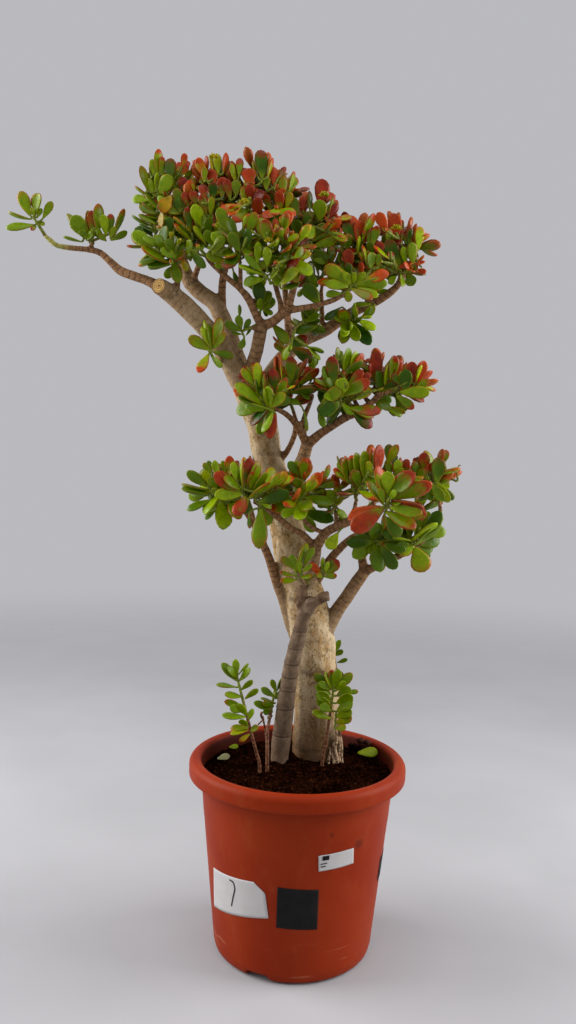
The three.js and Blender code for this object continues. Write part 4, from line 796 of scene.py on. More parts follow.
def ring_faces(copies, rings, around):
    """Faces of closed surfaces of rings of corners, each with a single corner at its start and end.

    The corners of a copy are its rings one after another, then its start and its end. Each ring runs from
    across to up, seen from its end.
    """
    size = rings * around + 2
    first = (np.arange(copies) * size)[:, None, None]
    r = np.arange(rings - 1)[None, :, None]
    a = np.arange(around)[None, None, :]
    b = (a + 1) % around
    quads = np.stack([first + r * around + a, first + r * around + b,
                      first + (r + 1) * around + b, first + (r + 1) * around + a], -1)
    a, b, last = a[:, 0], b[:, 0], (rings - 1) * around
    first = first[:, 0]
    start = np.stack(np.broadcast_arrays(first + size - 2, first + b, first + a), -1)
    end = np.stack(np.broadcast_arrays(first + size - 1, first + last + a, first + last + b), -1)
    return quads.reshape(-1, 4), np.concatenate([start.reshape(-1, 3), end.reshape(-1, 3)])


def tube(rows, around):
    """A closed stem carried along rows [x, y, z, radius].

    The corner at turn a is middle + radius (across cos a + up sin a). The ends are rounded off by a smaller
    ring. A corner's place is [across, up, along] in the stem. Its mood is [share of the way along, radius,
    0].
    """
    rows = np.asarray(rows, float)
    along, _, _ = path_frames(rows[:, :3])
    ends = rows[[0, -1]].copy()
    ends[:, :3] += along[[0, -1]] * ends[:, 3:] * np.array([[-0.35], [0.35]])
    poles = ends.copy()
    poles[:, :3] += along[[0, -1]] * ends[:, 3:] * np.array([[-0.15], [0.15]])
    ends[:, 3] *= 0.7
    full = np.vstack([ends[:1], rows, ends[1:]])
    _, across, up = path_frames(full[:, :3])
    turn = np.arange(around) * math.tau / around
    sideways, upward = full[:, 3, None] * np.cos(turn), full[:, 3, None] * np.sin(turn)
    rings = full[:, None, :3] + sideways[..., None] * across[:, None] + upward[..., None] * up[:, None]
    length = run_length(full[:, :3])
    lengths = np.broadcast_to(length[:, None], sideways.shape)
    place = np.stack([sideways, upward, lengths], -1).reshape(-1, 3)
    place = np.concatenate([place, [[0, 0, 0], [0, 0, length[-1]]]])
    girth = np.append(np.repeat(full[:, 3], around), full[[0, -1], 3])
    mood = np.stack([place[:, 2] / length[-1], girth, np.zeros(len(place))], 1)
    corners = np.concatenate([rings.reshape(-1, 3), poles[:, :3]])
    quads, triangles = ring_faces(1, len(full), around)
    return corners, quads, triangles, {"place": place, "mood": mood}


def added(name, data):
    """An object of a mesh, lamp or camera, put in the scene."""
    made = bpy.data.objects.new(name, data)
    bpy.context.scene.collection.objects.link(made)
    return made


def piece(name, mesh, finishes, nodes=()):
    """An object of the plant: its finishes, the solids that it stands for and the body that it rides on."""
    for finish in finishes:
        mesh.materials.append(finish.material)
    made = added(name, mesh)
    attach(made, "root")
    if nodes:
        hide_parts(*nodes)
    return made


def finished_mesh(made):
    """The mesh of an object with its modifiers worked out."""
    graph = bpy.context.evaluated_depsgraph_get()
    return bpy.data.meshes.new_from_object(made.evaluated_get(graph))


# ---------------------------------------------------------------- growing the leaves


def make_draw(seed):
    """Repeatable scatter: each call gives the next number between minus and plus its reach."""
    state = seed

    def draw(reach):
        nonlocal state
        state = (state * 1664525 + 1013904223) % 2**32
        return (2 * (state / 2**32) - 1) * reach

    return draw


def leaf_outline(s):
    """Half of a leaf's width at share s of its length, as a share of the greatest.

    Up to the widest place w it is 0.2 + 0.8 sin(90 degrees s / w)^1.3, and beyond it (1 - u^2)^0.62, where u
    is the share of the way from there to the tip.
    """
    s = np.asarray(s, float)
    base = 0.2 + 0.8 * np.sin(np.pi / 2 * np.clip(s / LEAF_WIDEST, 0, 1)) ** 1.3
    tip = np.clip(1 - ((s - LEAF_WIDEST) / (1 - LEAF_WIDEST)) ** 2, 0, 1) ** 0.62
    return np.where(s < LEAF_WIDEST, base, tip)


PROBE_SHARES = np.repeat([0.3, 0.5, 0.7, 0.86, 0.98], 3)
PROBE_SIDES = np.tile([-0.75, 0, 0.75], 5)


class Leaf:
    """A leaf's place, size and looks, with the points at which it is tested against what is near it."""

    def __init__(self, root, along, normal, length, width, thickness):
        self.root, self.along, self.normal = root, along, normal
        self.across = np.cross(along, normal)
        self.length, self.width, self.thickness = length, width, thickness
        half = PROBE_SIDES * leaf_outline(PROBE_SHARES) * width / 2
        rise = LEAF_CAMBER * length * PROBE_SHARES**2
        self.probes = (root + along * (PROBE_SHARES * length)[:, None] + self.across * half[:, None]
                       + normal * rise[:, None])
        self.middle = root + along * (0.55 * length)
        self.age, self.blush, self.tone, self.gold = 0.5, 0.0, 0.5, 0.0
        self.shoot = None


class Grown:
    """Leaves grown so far, as arrays, with the spray that owns each."""

    def __init__(self):
        self.count = 0
        self.owners = np.zeros(MOST_LEAVES, int)
        self.axes = np.zeros((MOST_LEAVES, 3, 3))
        self.roots, self.middles, self.sizes = np.zeros((3, MOST_LEAVES, 3))
        self.probes = np.zeros((MOST_LEAVES, len(PROBE_SHARES), 3))

    def add(self, leaf, spray):
        i = self.count
        self.owners[i] = spray
        self.axes[i] = leaf.along, leaf.across, leaf.normal
        self.roots[i], self.middles[i], self.probes[i] = leaf.root, leaf.middle, leaf.probes
        self.sizes[i] = leaf.length, leaf.width, leaf.thickness
        self.count += 1

    def crowded(self, leaf, spray, rooms):
        """Whether a leaf comes too close to one of these, or one of them to it."""
        apart = np.linalg.norm(self.middles[:self.count] - leaf.middle, axis=1)
        near = np.flatnonzero(apart <= (self.sizes[:self.count, 0] + leaf.length) / 2 + 6)
        own = (self.owners[near] == spray)[:, None]
        room = np.where(own, rooms["own_leaf"], rooms["other_leaf"])
        size = np.array([leaf.length, leaf.width, leaf.thickness])
        axes = np.array([leaf.along, leaf.across, leaf.normal])
        return (close_to(leaf.probes - self.roots[near, None], self.axes[near], self.sizes[near], room)
                or close_to(self.probes[near] - leaf.root, axes[None], size[None], room))


def close_to(offsets, axes, sizes, rooms):
    """Whether any place, given from a leaf's root, lies inside the bent ellipsoid of the leaf and its room.

    The room is the least distance [beside, above] the leaf.
    """
    axes = np.broadcast_to(axes, (len(offsets), 3, 3))
    x, y, z = np.moveaxis(np.einsum("npj,nij->npi", offsets, axes), 2, 0)
    length, width, thickness = sizes.T[:, :, None]
    beside, above = rooms.T[:, :, None]
    share = x / length
    inside = (((share - 0.56) / (0.46 + beside / length)) ** 2 + (y / (width / 2 + beside)) ** 2
              + ((z - LEAF_CAMBER * length * share * share) / (thickness / 2 + above)) ** 2)
    return bool((inside < 1).any())


class Bark:
    """Straight pieces of all stems, as arrays, with the spray that owns each or -1 for wood."""

    def __init__(self):
        self.rows = []
        self.owners = []

    def add(self, path, owner=-1):
        path = np.asarray(path, float)
        self.rows.extend(np.hstack([path[:-1], path[1:]]))
        self.owners.extend([owner] * (len(path) - 1))

    def arrays(self):
        """Starts, steps to the ends, radii at both ends and owners."""
        rows = np.array(self.rows)
        return rows[:, :3], rows[:, 4:7] - rows[:, :3], rows[:, 3], rows[:, 7], np.array(self.owners)


def to_bark(places, bark):
    """Distance from each place to the bark of each piece: to its middle line, less the radius there."""
    start, axis, radius, end_radius, _ = bark
    offset = places[:, None] - start
    share = np.clip((offset * axis).sum(-1) / (axis * axis).sum(-1), 0, 1)
    return np.linalg.norm(offset - axis * share[..., None], axis=-1) - mix(radius, end_radius, share)


def stands_free(leaf, spray, bark, grown, rooms):
    """Whether a leaf stands free of the soil, of all stems and of the leaves grown before it."""
    if (leaf.probes[:, 2] < SOIL_HEIGHT + 10).any():
        return False
    distance, owners = to_bark(leaf.probes, bark), bark[4]
    if ((distance[:, owners == -1] < rooms["wood"]).any()
            or (distance[:, (owners != -1) & (owners != spray)] < rooms["stem"]).any()
            or (distance[6:, owners == spray] < rooms["own_stem"]).any()):
        return False
    return not grown.crowded(leaf, spray, rooms)


# Places that a leaf tries in turn: [degrees away from the stem, degrees round it, share of its length].
PLACES = [
    [0, 0, 1], [-9, 0, 1], [9, 0, 1], [0, 10, 1], [0, -10, 1], [-18, 0, 1], [18, 0, 1],
    [-9, 12, 0.95], [9, -12, 0.95], [-9, -12, 0.95], [9, 12, 0.95], [0, 0, 0.85], [-15, 0, 0.85],
    [15, 0, 0.85], [0, 18, 0.85], [0, -18, 0.85], [0, 0, 0.72], [-12, 12, 0.72], [12, -12, 0.72],
]
FIRM_ROOMS = {"wood": 3, "stem": 2.8, "own_stem": 1.5, "other_leaf": [1.5, 2.8], "own_leaf": [0.8, 1.4]}
CLOSE_ROOMS = {"wood": 1, "stem": 0.8, "own_stem": 0.5, "other_leaf": [0.2, 0.5], "own_leaf": [0.1, 0.4]}


class Shoot:
    """A straight green stem with its pairs of leaves."""

    def __init__(self, start, radius, row):
        self.start, self.radius = start, radius
        self.tip = np.array(row[:3], float)
        self.pairs, self.leaf, self.turn = row[3:]
        self.rows = [[*start, radius], [*self.tip, SHOOT_TIP_RADIUS]]


def outward_from(stemward, turn):
    """The direction square to a stem that lies at a turn round it."""
    east = square_to(stemward, X if abs(stemward[0]) < 0.9 else Z)
    return east * math.cos(turn) + np.cross(stemward, east) * math.sin(turn)


def bud_leaf(shoot, rank, side, scatter, place):
    """One leaf of pair `rank`, counted from the tip, of a shoot. Its age is 0 at the tip and 1 below.

    It leans out from the stem by 24 + 56 age^0.7 degrees, and each pair is turned 90 degrees from the last.
    """
    away, around, share = place
    age = rank / max(shoot.pairs - 1, 2)
    middle = mix(shoot.tip, shoot.start, 0.72 * age**0.9)
    stemward = unit(shoot.tip - shoot.start)
    lean = math.radians(24 + 56 * age**0.7 + scatter[0] + away)
    outward = outward_from(stemward, math.radians(shoot.turn + 90 * rank + side + scatter[1] + around))
    along = unit(stemward * math.cos(lean) + outward * math.sin(lean) - 0.15 * age * Z)
    face = stemward * math.sin(lean) - outward * math.cos(lean) + 0.35 * Z
    length = shoot.leaf * (0.82 + 0.18 * min(1, 2.2 * age)) * (1 + scatter[2]) * share
    root = middle - ROOT_SINK * stemward - ROOT_SINK / 6 * outward
    leaf = Leaf(root, along, square_to(along, face), length, length * LEAF_WIDTH, length * LEAF_THICKNESS)
    leaf.age = age
    return leaf


def pointed_leaf(root, tip, width=OLD_LEAF_WIDTH):
    """A single leaf from its root to its tip, with its upper side turned to the front."""
    length = np.linalg.norm(tip - root)
    along = (tip - root) / length
    leaf = Leaf(root, along, square_to(along, np.array([0, -1, 0.3])), length, length * width,
                length * OLD_LEAF_THICKNESS)
    leaf.age = 1
    return leaf


def roll_leaf(leaf, roll):
    """Turns a leaf about its own length."""
    leaf.normal = leaf.normal * math.cos(roll) + leaf.across * math.sin(roll)
    leaf.across = np.cross(leaf.along, leaf.normal)


def camera_axes():
    """The camera's right, its up and the way that it looks."""
    pitch, roll, yaw = (math.radians(angle) for angle in (CAMERA_PITCH, CAMERA_ROLL, CAMERA_YAW))
    forward = np.array([math.sin(yaw) * math.cos(pitch), math.cos(yaw) * math.cos(pitch), -math.sin(pitch)])
    level = np.array([math.cos(yaw), -math.sin(yaw), 0])
    upright = np.cross(level, forward)
    right = math.cos(roll) * level + math.sin(roll) * upright
    return right, math.cos(roll) * upright - math.sin(roll) * level, forward


EYE = np.array(CAMERA_PLACE) * 1000
RIGHT, UP, FORWARD = camera_axes()
FOCUS = round(CAMERA_LENS / CAMERA_SENSOR * VIEW_HEIGHT)


def seen_at(across, down, depth):
    """The place that is seen at a point of the picture and lies at a depth behind the pot's axis."""
    ray = FORWARD + RIGHT * (across - VIEW_WIDTH / 2) / FOCUS - UP * (down - VIEW_HEIGHT / 2) / FOCUS
    return EYE + ray * (depth - EYE[1]) / ray[1]


def placed_leaves(name):
    """The leaves of a spray that are placed one by one. A narrow one is a broader one turned edge on."""
    leaves, draw = [], make_draw(len(name) * 7 + ord(name[-1]))
    for _, depth, rows in [block for block in SEEN_LEAVES if block[0] == name]:
        for *ends, width, lean, red, light, yellow in np.array(rows.split(), float).reshape(-1, 9):
            root, tip = seen_at(*ends[:2], depth), seen_at(*ends[2:], depth + lean)
            share = width * ((root - EYE) @ FORWARD) / FOCUS / np.linalg.norm(tip - root)
            seen = round(min(max(share, LEAST_SEEN), MOST_SEEN) * 100) / 100
            leaf = pointed_leaf(root.round(), tip.round(), max(seen, NARROWEST))
            roll_leaf(leaf, math.acos(min(seen / NARROWEST, 1)) + draw(PLACED_ROLL))
            # A placed leaf's tone is its own lightness with painted light and shade in it.
            leaf.blush, leaf.tone, leaf.gold = red / 100, light / 100, yellow / 100
            leaves.append(leaf)
    return leaves


def shoot_heading(base, rows):
    """From the end of a stalk towards the middle of the tips of its shoots."""
    return unit(np.mean([row[:3] for row in rows], axis=0) - base)


def make_shoots(base, direction, gap, rows):
    """The green stems of a spray. The further ones spring from the first a little way along it."""
    first = base + direction * gap
    toward = unit(np.array(rows[0][:3], float) - first)
    starts = [first] + [first + toward * SIDE_SHOOT_START] * (len(rows) - 1)
    radii = [SHOOT_RADIUS] + [SIDE_SHOOT_RADIUS] * (len(rows) - 1)
    return [Shoot(start, radius, row) for start, radius, row in zip(starts, radii, rows)]


def stalk_rows(root, radius, base, direction, steps):
    """A woody stalk from a limb to its spray, bending into the spray's heading and tapering evenly."""
    bend = base - direction * 0.45 * np.linalg.norm(base - root)
    t = np.arange(steps + 1) / steps
    points = on_curve(root, bend, base, t)
    return np.hstack([points, mix(min(radius * 0.85, STALK_RADIUS), SHOOT_RADIUS, t)[:, None]])


class Spray:
    """A leafy spray: its name, woody stalk or foot, green stems and leaves."""

    def __init__(self, name, stalk, shoots, old):
        self.name, self.stalk, self.shoots, self.old = name, stalk, shoots, old
        self.is_sucker = name.startswith("sucker")
        self.leaves, self.placed, self.behind = [], placed_leaves(name), []


def plan_sprays():
    """Every spray with its stems. A sucker's foot takes the place of a stalk."""
    limbs = {**LIMBS, **FRONT_LIMBS}
    sprays = []
    for name, limb, at, base, rows, old in SPRAYS:
        base, root = np.array(base, float), np.array(limbs[limb][at], float)
        direction = shoot_heading(base, rows)
        stalk = stalk_rows(root[:3], root[3], base, direction, 4)
        sprays.append(Spray(name, stalk, make_shoots(base, direction, FIT_GAP, rows), old))
    for name, foot, rows, old in SUCKERS:
        base = np.array(foot[-1], float)
        shoots = make_shoots(base, shoot_heading(base, rows), -SIDE_SHOOT_START, rows)
        sprays.append(Spray(name, np.array([[*row, SHOOT_RADIUS] for row in foot], float), shoots, old))
    return sprays


def lay_bark(sprays):
    """The straight pieces of all limbs, stalks and green stems."""
    bark = Bark()
    for path in [*LIMBS.values(), *FRONT_LIMBS.values()]:
        bark.add(path)
    for i, spray in enumerate(sprays):
        for shoot in spray.shoots:
            bark.add(shoot.rows, i)
        bark.add(spray.stalk, i if spray.is_sucker else -1)
    return bark.arrays()


def grow_pairs(sprays, spray, shoot, draw, bark, grown, rooms):
    """Grows a shoot's pairs of leaves, each in the first place where it stands free."""
    for rank in range(shoot.pairs):
        for side in (0, 180):
            scatter = [draw(7), draw(10), draw(0.1)]
            for place in PLACES:
                leaf = bud_leaf(shoot, rank, side, scatter, place)
                if stands_free(leaf, spray, bark, grown, rooms):
                    leaf.shoot = shoot
                    grown.add(leaf, spray)
                    sprays[spray].leaves.append(leaf)
                    break


def side_shoot(shoot, at, turn, draw):
    """A short green stem that leaves a shoot part of the way along it and leans out to one side."""
    stemward = unit(shoot.tip - shoot.start)
    start = mix(shoot.start, shoot.tip, at)
    reach = SIDE_SHOOT_REACH * (1 + draw(0.2))
    tip = start + unit(0.7 * stemward + outward_from(stemward, turn) + 0.25 * Z) * reach
    return Shoot(start, SIDE_SHOOT_RADIUS, [*tip, 2, shoot.leaf * 0.9, math.degrees(turn) + 45])


def fill_out(sprays, bark, grown, draw):
    """Grows what the main shoots leave room for: pairs between their pairs, then short side shoots."""
    for i, spray in enumerate(sprays):
        for shoot in list(spray.shoots):
            between_pairs = Shoot(shoot.start, shoot.radius,
                                  [*shoot.tip, shoot.pairs + 1, shoot.leaf * 0.9, shoot.turn + 45])
            grow_pairs(sprays, i, between_pairs, draw, bark, grown, CLOSE_ROOMS)
    for i, spray in enumerate(sprays):
        count = SIDE_SHOOTS.get(spray.name, 1)
        for shoot in list(spray.shoots):
            for k in range(count):
                turn = math.radians(shoot.turn + 137.5 * k) + draw(0.4)
                side = side_shoot(shoot, 0.3 + 0.5 * (k + 0.5) / count, turn, draw)
                before = len(spray.leaves)
                grow_pairs(sprays, i, side, draw, bark, grown, CLOSE_ROOMS)
                if len(spray.leaves) > before:
                    spray.shoots.append(side)


def tip_leaves(shoot):
    """The pair of small leaves that has just opened at the tip of a shoot."""
    stemward = unit(shoot.tip - shoot.start)
    outward = outward_from(stemward, math.radians(shoot.turn - 90))
    for side, size in ((1, 0.36), (-1, 0.3)):
        along = unit(stemward + side * 0.22 * outward)
        leaf = Leaf(shoot.tip - stemward, along, square_to(along, -side * outward), shoot.leaf * size,
                    shoot.leaf * size * 0.5, shoot.leaf * size * 0.22)
        leaf.age, leaf.shoot = 0, shoot
        yield leaf


def seen_past(place, middles):
    """How much further from the camera than a place middles of leaves lie, and how far beside it."""
    away = place - EYE
    reach = np.linalg.norm(away)
    further = (middles - EYE) @ (away / reach)
    beside = np.linalg.norm(middles - EYE - further[:, None] * (away / reach), axis=1)
    return further - reach, beside


def hides(leaf, placed):
    """Whether a leaf stands before the middle of a placed leaf, close beside it for their lengths."""
    further, beside = seen_past(leaf.middle, placed[0])
    return bool(((further > -3) & (beside < 0.23 * (placed[1] + leaf.length))).any())


def shaded(leaf, placed):
    """Whether the tip of a leaf lies behind a placed leaf or close beside it."""
    further, beside = seen_past(leaf.root + leaf.along * leaf.length, placed[0])
    return bool(((further < 0) & (beside < SHADE_REACH * placed[1])).any())


def placed_in(sprays):
    """The middles and the lengths of all placed leaves."""
    leaves = [leaf for spray in sprays for leaf in spray.placed]
    return np.array([leaf.middle for leaf in leaves]), np.array([leaf.length for leaf in leaves])


def open_view(sprays):
    """Leaves out the grown leaves that hide placed ones, and the side shoots that this leaves bare."""
    placed = placed_in(sprays)
    for spray in sprays:
        if spray.name in ONLY_PLACED:
            spray.leaves = []
            spray.shoots = spray.shoots[:spray.main]
            continue
        tips = [leaf for shoot in spray.shoots for leaf in tip_leaves(shoot)]
        spray.leaves = [leaf for leaf in spray.leaves + tips if not hides(leaf, placed)]
        bearing = {id(leaf.shoot) for leaf in spray.leaves}
        spray.shoots = spray.shoots[:spray.main] + [s for s in spray.shoots[spray.main:] if id(s) in bearing]


def grow_behind(sprays, bark, grown, draw):
    """Fills the far side of each spray with leaves set darker as painted shade, one behind each placed leaf
    where it stands free.

    Each is the placed leaf set back from its root, turned to the other side of its stem and a little round.
    """
    placed = placed_in(sprays)
    for i, spray in enumerate(sprays):
        if spray.name in ONLY_PLACED:
            continue
        for leaf in [leaf for leaf in spray.placed * 2 if leaf.along[2] > -0.45]:
            for k in range(BEHIND_TRIES):
                turn = (0.3 + 0.3 * k + draw(0.25)) * (1 if k % 2 else -1)
                x, y, z = leaf.along
                along = unit(np.array([x * math.cos(turn) - z * math.sin(turn), 0.35 + abs(y) + draw(0.2),
                                       x * math.sin(turn) + z * math.cos(turn)]))
                root = leaf.root + np.array([draw(5), 9 + 6 * k, draw(5)])
                size = leaf.length * (0.85 + draw(0.1))
                new = Leaf(root, along, square_to(along, np.array([draw(0.6), -1, 0.3])), size,
                           size * LEAF_WIDTH, size * LEAF_THICKNESS)
                if (shaded(new, placed) and not hides(new, placed)
                        and stands_free(new, i, bark, grown, CLOSE_ROOMS)):
                    # A far-side leaf gets a low tone: painted shade.
                    new.blush, new.tone = max(0, leaf.blush - 0.15 + draw(0.2)), 0.3 + draw(0.25)
                    grown.add(new, i)
                    spray.behind.append(new)
                    break


def leaf_stems(spray):
    """Short green stems to the placed leaves that stand off the stems of a spray.

    Each springs from the nearest point of the stems and of the short stems before it.
    """
    lines = [(shoot.start, shoot.tip) for shoot in spray.shoots]
    lines += [(np.array(a[:3]), np.array(b[:3])) for path in FURTHER_STEMS.get(spray.name, [])
              for a, b in zip(path, path[1:])]
    stems = []
    for leaf in spray.placed + spray.behind:
        nearest, least = None, 1e9
        for start, end in lines:
            share = np.clip((leaf.root - start) @ (end - start) / ((end - start) @ (end - start)), 0, 1)
            point = mix(start, end, share)
            apart = np.linalg.norm(leaf.root - point)
            if apart < least:
                nearest, least = point, apart
        if least > LEAF_STEM_FROM:
            lines.append((nearest, leaf.root))
            path = stalk_rows(nearest, 2.0, leaf.root + leaf.along, leaf.along, 4)
            path[:, 3] = np.linspace(1.8, 1.3, len(path))
            stems.append(path)
    return stems


def grow_sprays():
    """Every spray with its leaves: the placed ones and the old ones, then the pairs of the main shoots and
    what fills them out, as far as the placed ones leave room and stay in view."""
    sprays = plan_sprays()
    bark = lay_bark(sprays)
    grown = Grown()
    for i, spray in enumerate(sprays):
        spray.main = len(spray.shoots)
        for leaf in spray.placed:
            grown.add(leaf, i)
        for at, t, *tip in spray.old:
            shoot = spray.shoots[at]
            leaf = pointed_leaf(mix(shoot.start, shoot.tip, t), np.array(tip, float))
            leaf.shoot = shoot
            grown.add(leaf, i)
            spray.leaves.append(leaf)
    draw = make_draw(7)
    for i, spray in enumerate(sprays):
        for shoot in spray.shoots:
            grow_pairs(sprays, i, shoot, draw, bark, grown, FIRM_ROOMS)
    fill_out(sprays, bark, grown, draw)
    open_view(sprays)
    grow_behind(sprays, bark, grown, draw)
    return sprays


# ---------------------------------------------------------------- finishes


def hue(code):
    """A shader colour from a six-digit screen colour code."""
    shares = np.array([int(code[i:i + 2], 16) for i in (1, 3, 5)]) / 255
    linear = np.where(shares <= 0.04045, shares / 12.92, ((shares + 0.055) / 1.055) ** 2.4)
    return (*linear.tolist(), 1.0)


class Value:
    """A socket of a finish. Sums, differences, products, quotients and powers of it add their Math nodes."""

    def __init__(self, finish, socket):
        self.finish = finish
        self.socket = socket

    def worked(self, operation, *values):
        return self.finish.node("ShaderNodeMath", {"operation": operation}, dict(enumerate(values)))

    def __add__(self, other):
        return self.worked("ADD", self, other)

    def __sub__(self, other):
        return self.worked("SUBTRACT", self, other)

    def __rsub__(self, other):
        return self.worked("SUBTRACT", other, self)

    def __mul__(self, other):
        return self.worked("MULTIPLY", self, other)

    def __truediv__(self, other):
        return self.worked("DIVIDE", self, other)

    def __pow__(self, other):
        return self.worked("POWER", self, other)

    __radd__ = __add__
    __rmul__ = __mul__

    def clipped(self):
        """The value held between 0 and 1."""
        return self.finish.node("ShaderNodeClamp", {}, {"Value": self})

    def step(self, low, high):
        """0 up to low, 1 from high and a soft step between them."""
        return self.finish.node("ShaderNodeMapRange", {"interpolation_type": "SMOOTHSTEP"},
                                {"Value": self, "From Min": low, "From Max": high})

    def wave(self, length):
        """A sine of the value, from 0 to 1, with a wavelength."""
        return self.worked("SINE", self * (math.tau / length)) * 0.5 + 0.5


class Finish:
    """A material made of nodes round one shader, with the shader's plain settings."""

    def __init__(self, name, **settings):
        self.material = bpy.data.materials.new(name)
        self.material.use_nodes = True
        self.tree = self.material.node_tree
        self.shader = self.tree.nodes["Principled BSDF"]
        for key, value in settings.items():
            self.shader.inputs[key.replace("_", " ")].default_value = value

    def node(self, kind, settings, inputs, output=0):
        """Any node: its type, its settings and then the values or links of its sockets."""
        made = self.tree.nodes.new(kind)
        for key, value in settings.items():
            setattr(made, key, value)
        for key, value in inputs.items():
            if isinstance(value, Value):
                self.tree.links.new(value.socket, made.inputs[key])
            else:
                made.inputs[key].default_value = value
        return Value(self, made.outputs[output])

    def paint(self, socket, value):
        """Feeds one of the shader's sockets."""
        self.tree.links.new(value.socket, self.shader.inputs[socket])

    def attribute(self, name):
        """Three values that the mesh holds at its corners."""
        return self.node("ShaderNodeAttribute", {"attribute_name": name}, {}, 1)

    def places(self):
        """Places on the object, in metres."""
        return self.node("ShaderNodeTexCoord", {}, {}, 3)

    def split(self, vector):
        """The three numbers of a vector."""
        apart = self.node("ShaderNodeSeparateXYZ", {}, {0: vector})
        return [Value(self, socket) for socket in apart.socket.node.outputs]

    def scaled(self, vector, factors):
        """A vector with each of its numbers times a factor."""
        return self.node("ShaderNodeVectorMath", {"operation": "MULTIPLY"}, {0: vector, 1: factors})

    def noise(self, vector, scale, detail, roughness=0.5):
        """Cloudy noise, mostly between 0.3 and 0.7."""
        return self.node("ShaderNodeTexNoise", {}, {"Vector": vector, "Scale": scale, "Detail": detail,
                                                    "Roughness": roughness})

    def cells(self, vector, scale):
        """Distance to the nearest of a scatter of points, 0 at each point."""
        return self.node("ShaderNodeTexVoronoi", {}, {"Vector": vector, "Scale": scale})

    def mixed(self, share, first, second):
        """A share of the way from the first colour to the second."""
        return self.node("ShaderNodeMix", {"data_type": "RGBA"}, {0: share, 6: first, 7: second}, 2)

    def near(self, places, spot):
        """Distance from a spot."""
        return self.node("ShaderNodeVectorMath", {"operation": "DISTANCE"}, {0: places, 1: spot}, 1)

    def bump(self, height, depth):
        """Relief of a depth in metres."""
        self.paint("Normal", self.node("ShaderNodeBump", {}, {"Height": height, "Distance": depth}))


def leaf_finish():
    """Waxy green that reddens from the margin and the tip inwards, by how sunned the leaf is."""
    leaf = Finish("jade_leaf", Specular_IOR_Level=0.17)
    along, across, upper = leaf.split(leaf.attribute("place"))
    blush, tone, gold = leaf.split(leaf.attribute("mood"))
    cloud = leaf.noise(leaf.places(), 75, 3)
    broken = (cloud - 0.5) * 0.35
    margin = (across + broken).step(0.74, 1.0)
    tip = (along + broken).step(0.62, 1.0)
    whole = (blush + (cloud - 0.5) * 0.7 + (along - 0.5) * 0.35).step(0.5, 0.85)
    red = margin * (blush + 0.15).step(0.1, 0.4) * 0.9 + tip * blush.step(0.02, 0.5) * 0.9 + whole
    # Each leaf's tone value sets how light its green is: its own tone, and for placed, far-side and sucker
    # leaves also painted light and shade.
    green = leaf.mixed(tone, hue("#1a3a00"), hue("#9ab402"))
    green = leaf.mixed(leaf.noise(leaf.places(), 170, 2).step(0.35, 0.7) * 0.35, green, hue("#356802"))
    green = leaf.mixed((1 - along.step(0, 0.4)) * 0.4, green, hue("#98a80c"))
    green = leaf.mixed(across.step(0.84, 1.0) * 0.4, green, hue("#a6ae28"))
    yellow = leaf.mixed(cloud.step(0.4, 0.62), hue("#7d7402"), hue("#b08504"))
    green = leaf.mixed(gold.clipped(), green, yellow)
    green = leaf.mixed(((gold - 1.0) * 2.5).clipped(), green, hue("#8f9068"))
    # The same tone value turns the red from crimson to orange, so the red carries the painted shade too.
    flush = leaf.mixed((tone * 0.7 + (cloud - 0.5) * 0.9 + 0.01).clipped(), hue("#690611"), hue("#cc3a05"))
    flush = leaf.mixed(leaf.noise(leaf.places(), 230, 2).step(0.5, 0.72) * 0.35, flush, hue("#8a4404"))
    colour = leaf.mixed(red.clipped() * 0.95, green, flush)
    leaf.paint("Base Color", leaf.mixed((0.5 - upper * 0.5).clipped() * 0.2, colour, hue("#72801c")))
    leaf.paint("Roughness", 0.18 + cloud * 0.16)
    dots = leaf.cells(leaf.places(), 700).step(0, 0.35)
    leaf.bump(dots * 0.15 + cloud, 0.0008)
    return leaf


def stem_finish():
    """A green stem, brown and ringed with old leaf scars towards its foot."""
    stem = Finish("green_stem", Roughness=0.55, Specular_IOR_Level=0.2)
    _, _, run = stem.split(stem.attribute("place"))
    share, _, _ = stem.split(stem.attribute("mood"))
    cloud = stem.noise(stem.places(), 90, 2)
    aged = (share + (cloud - 0.5) * 0.5).step(0.1, 0.75)
    bark = stem.mixed(stem.noise(stem.places(), 260, 3).step(0.35, 0.65), hue("#4c2a18"), hue("#7d5034"))
    colour = stem.mixed(aged, bark, hue("#6d7a20"))
    scar = (run + cloud * 3).wave(6.5).step(0.86, 1.0)
    stem.paint("Base Color", stem.mixed(scar * 0.4, colour, hue("#3a2012")))
    stem.bump(scar * -0.6 + cloud * 0.4, 0.0006)
    return stem


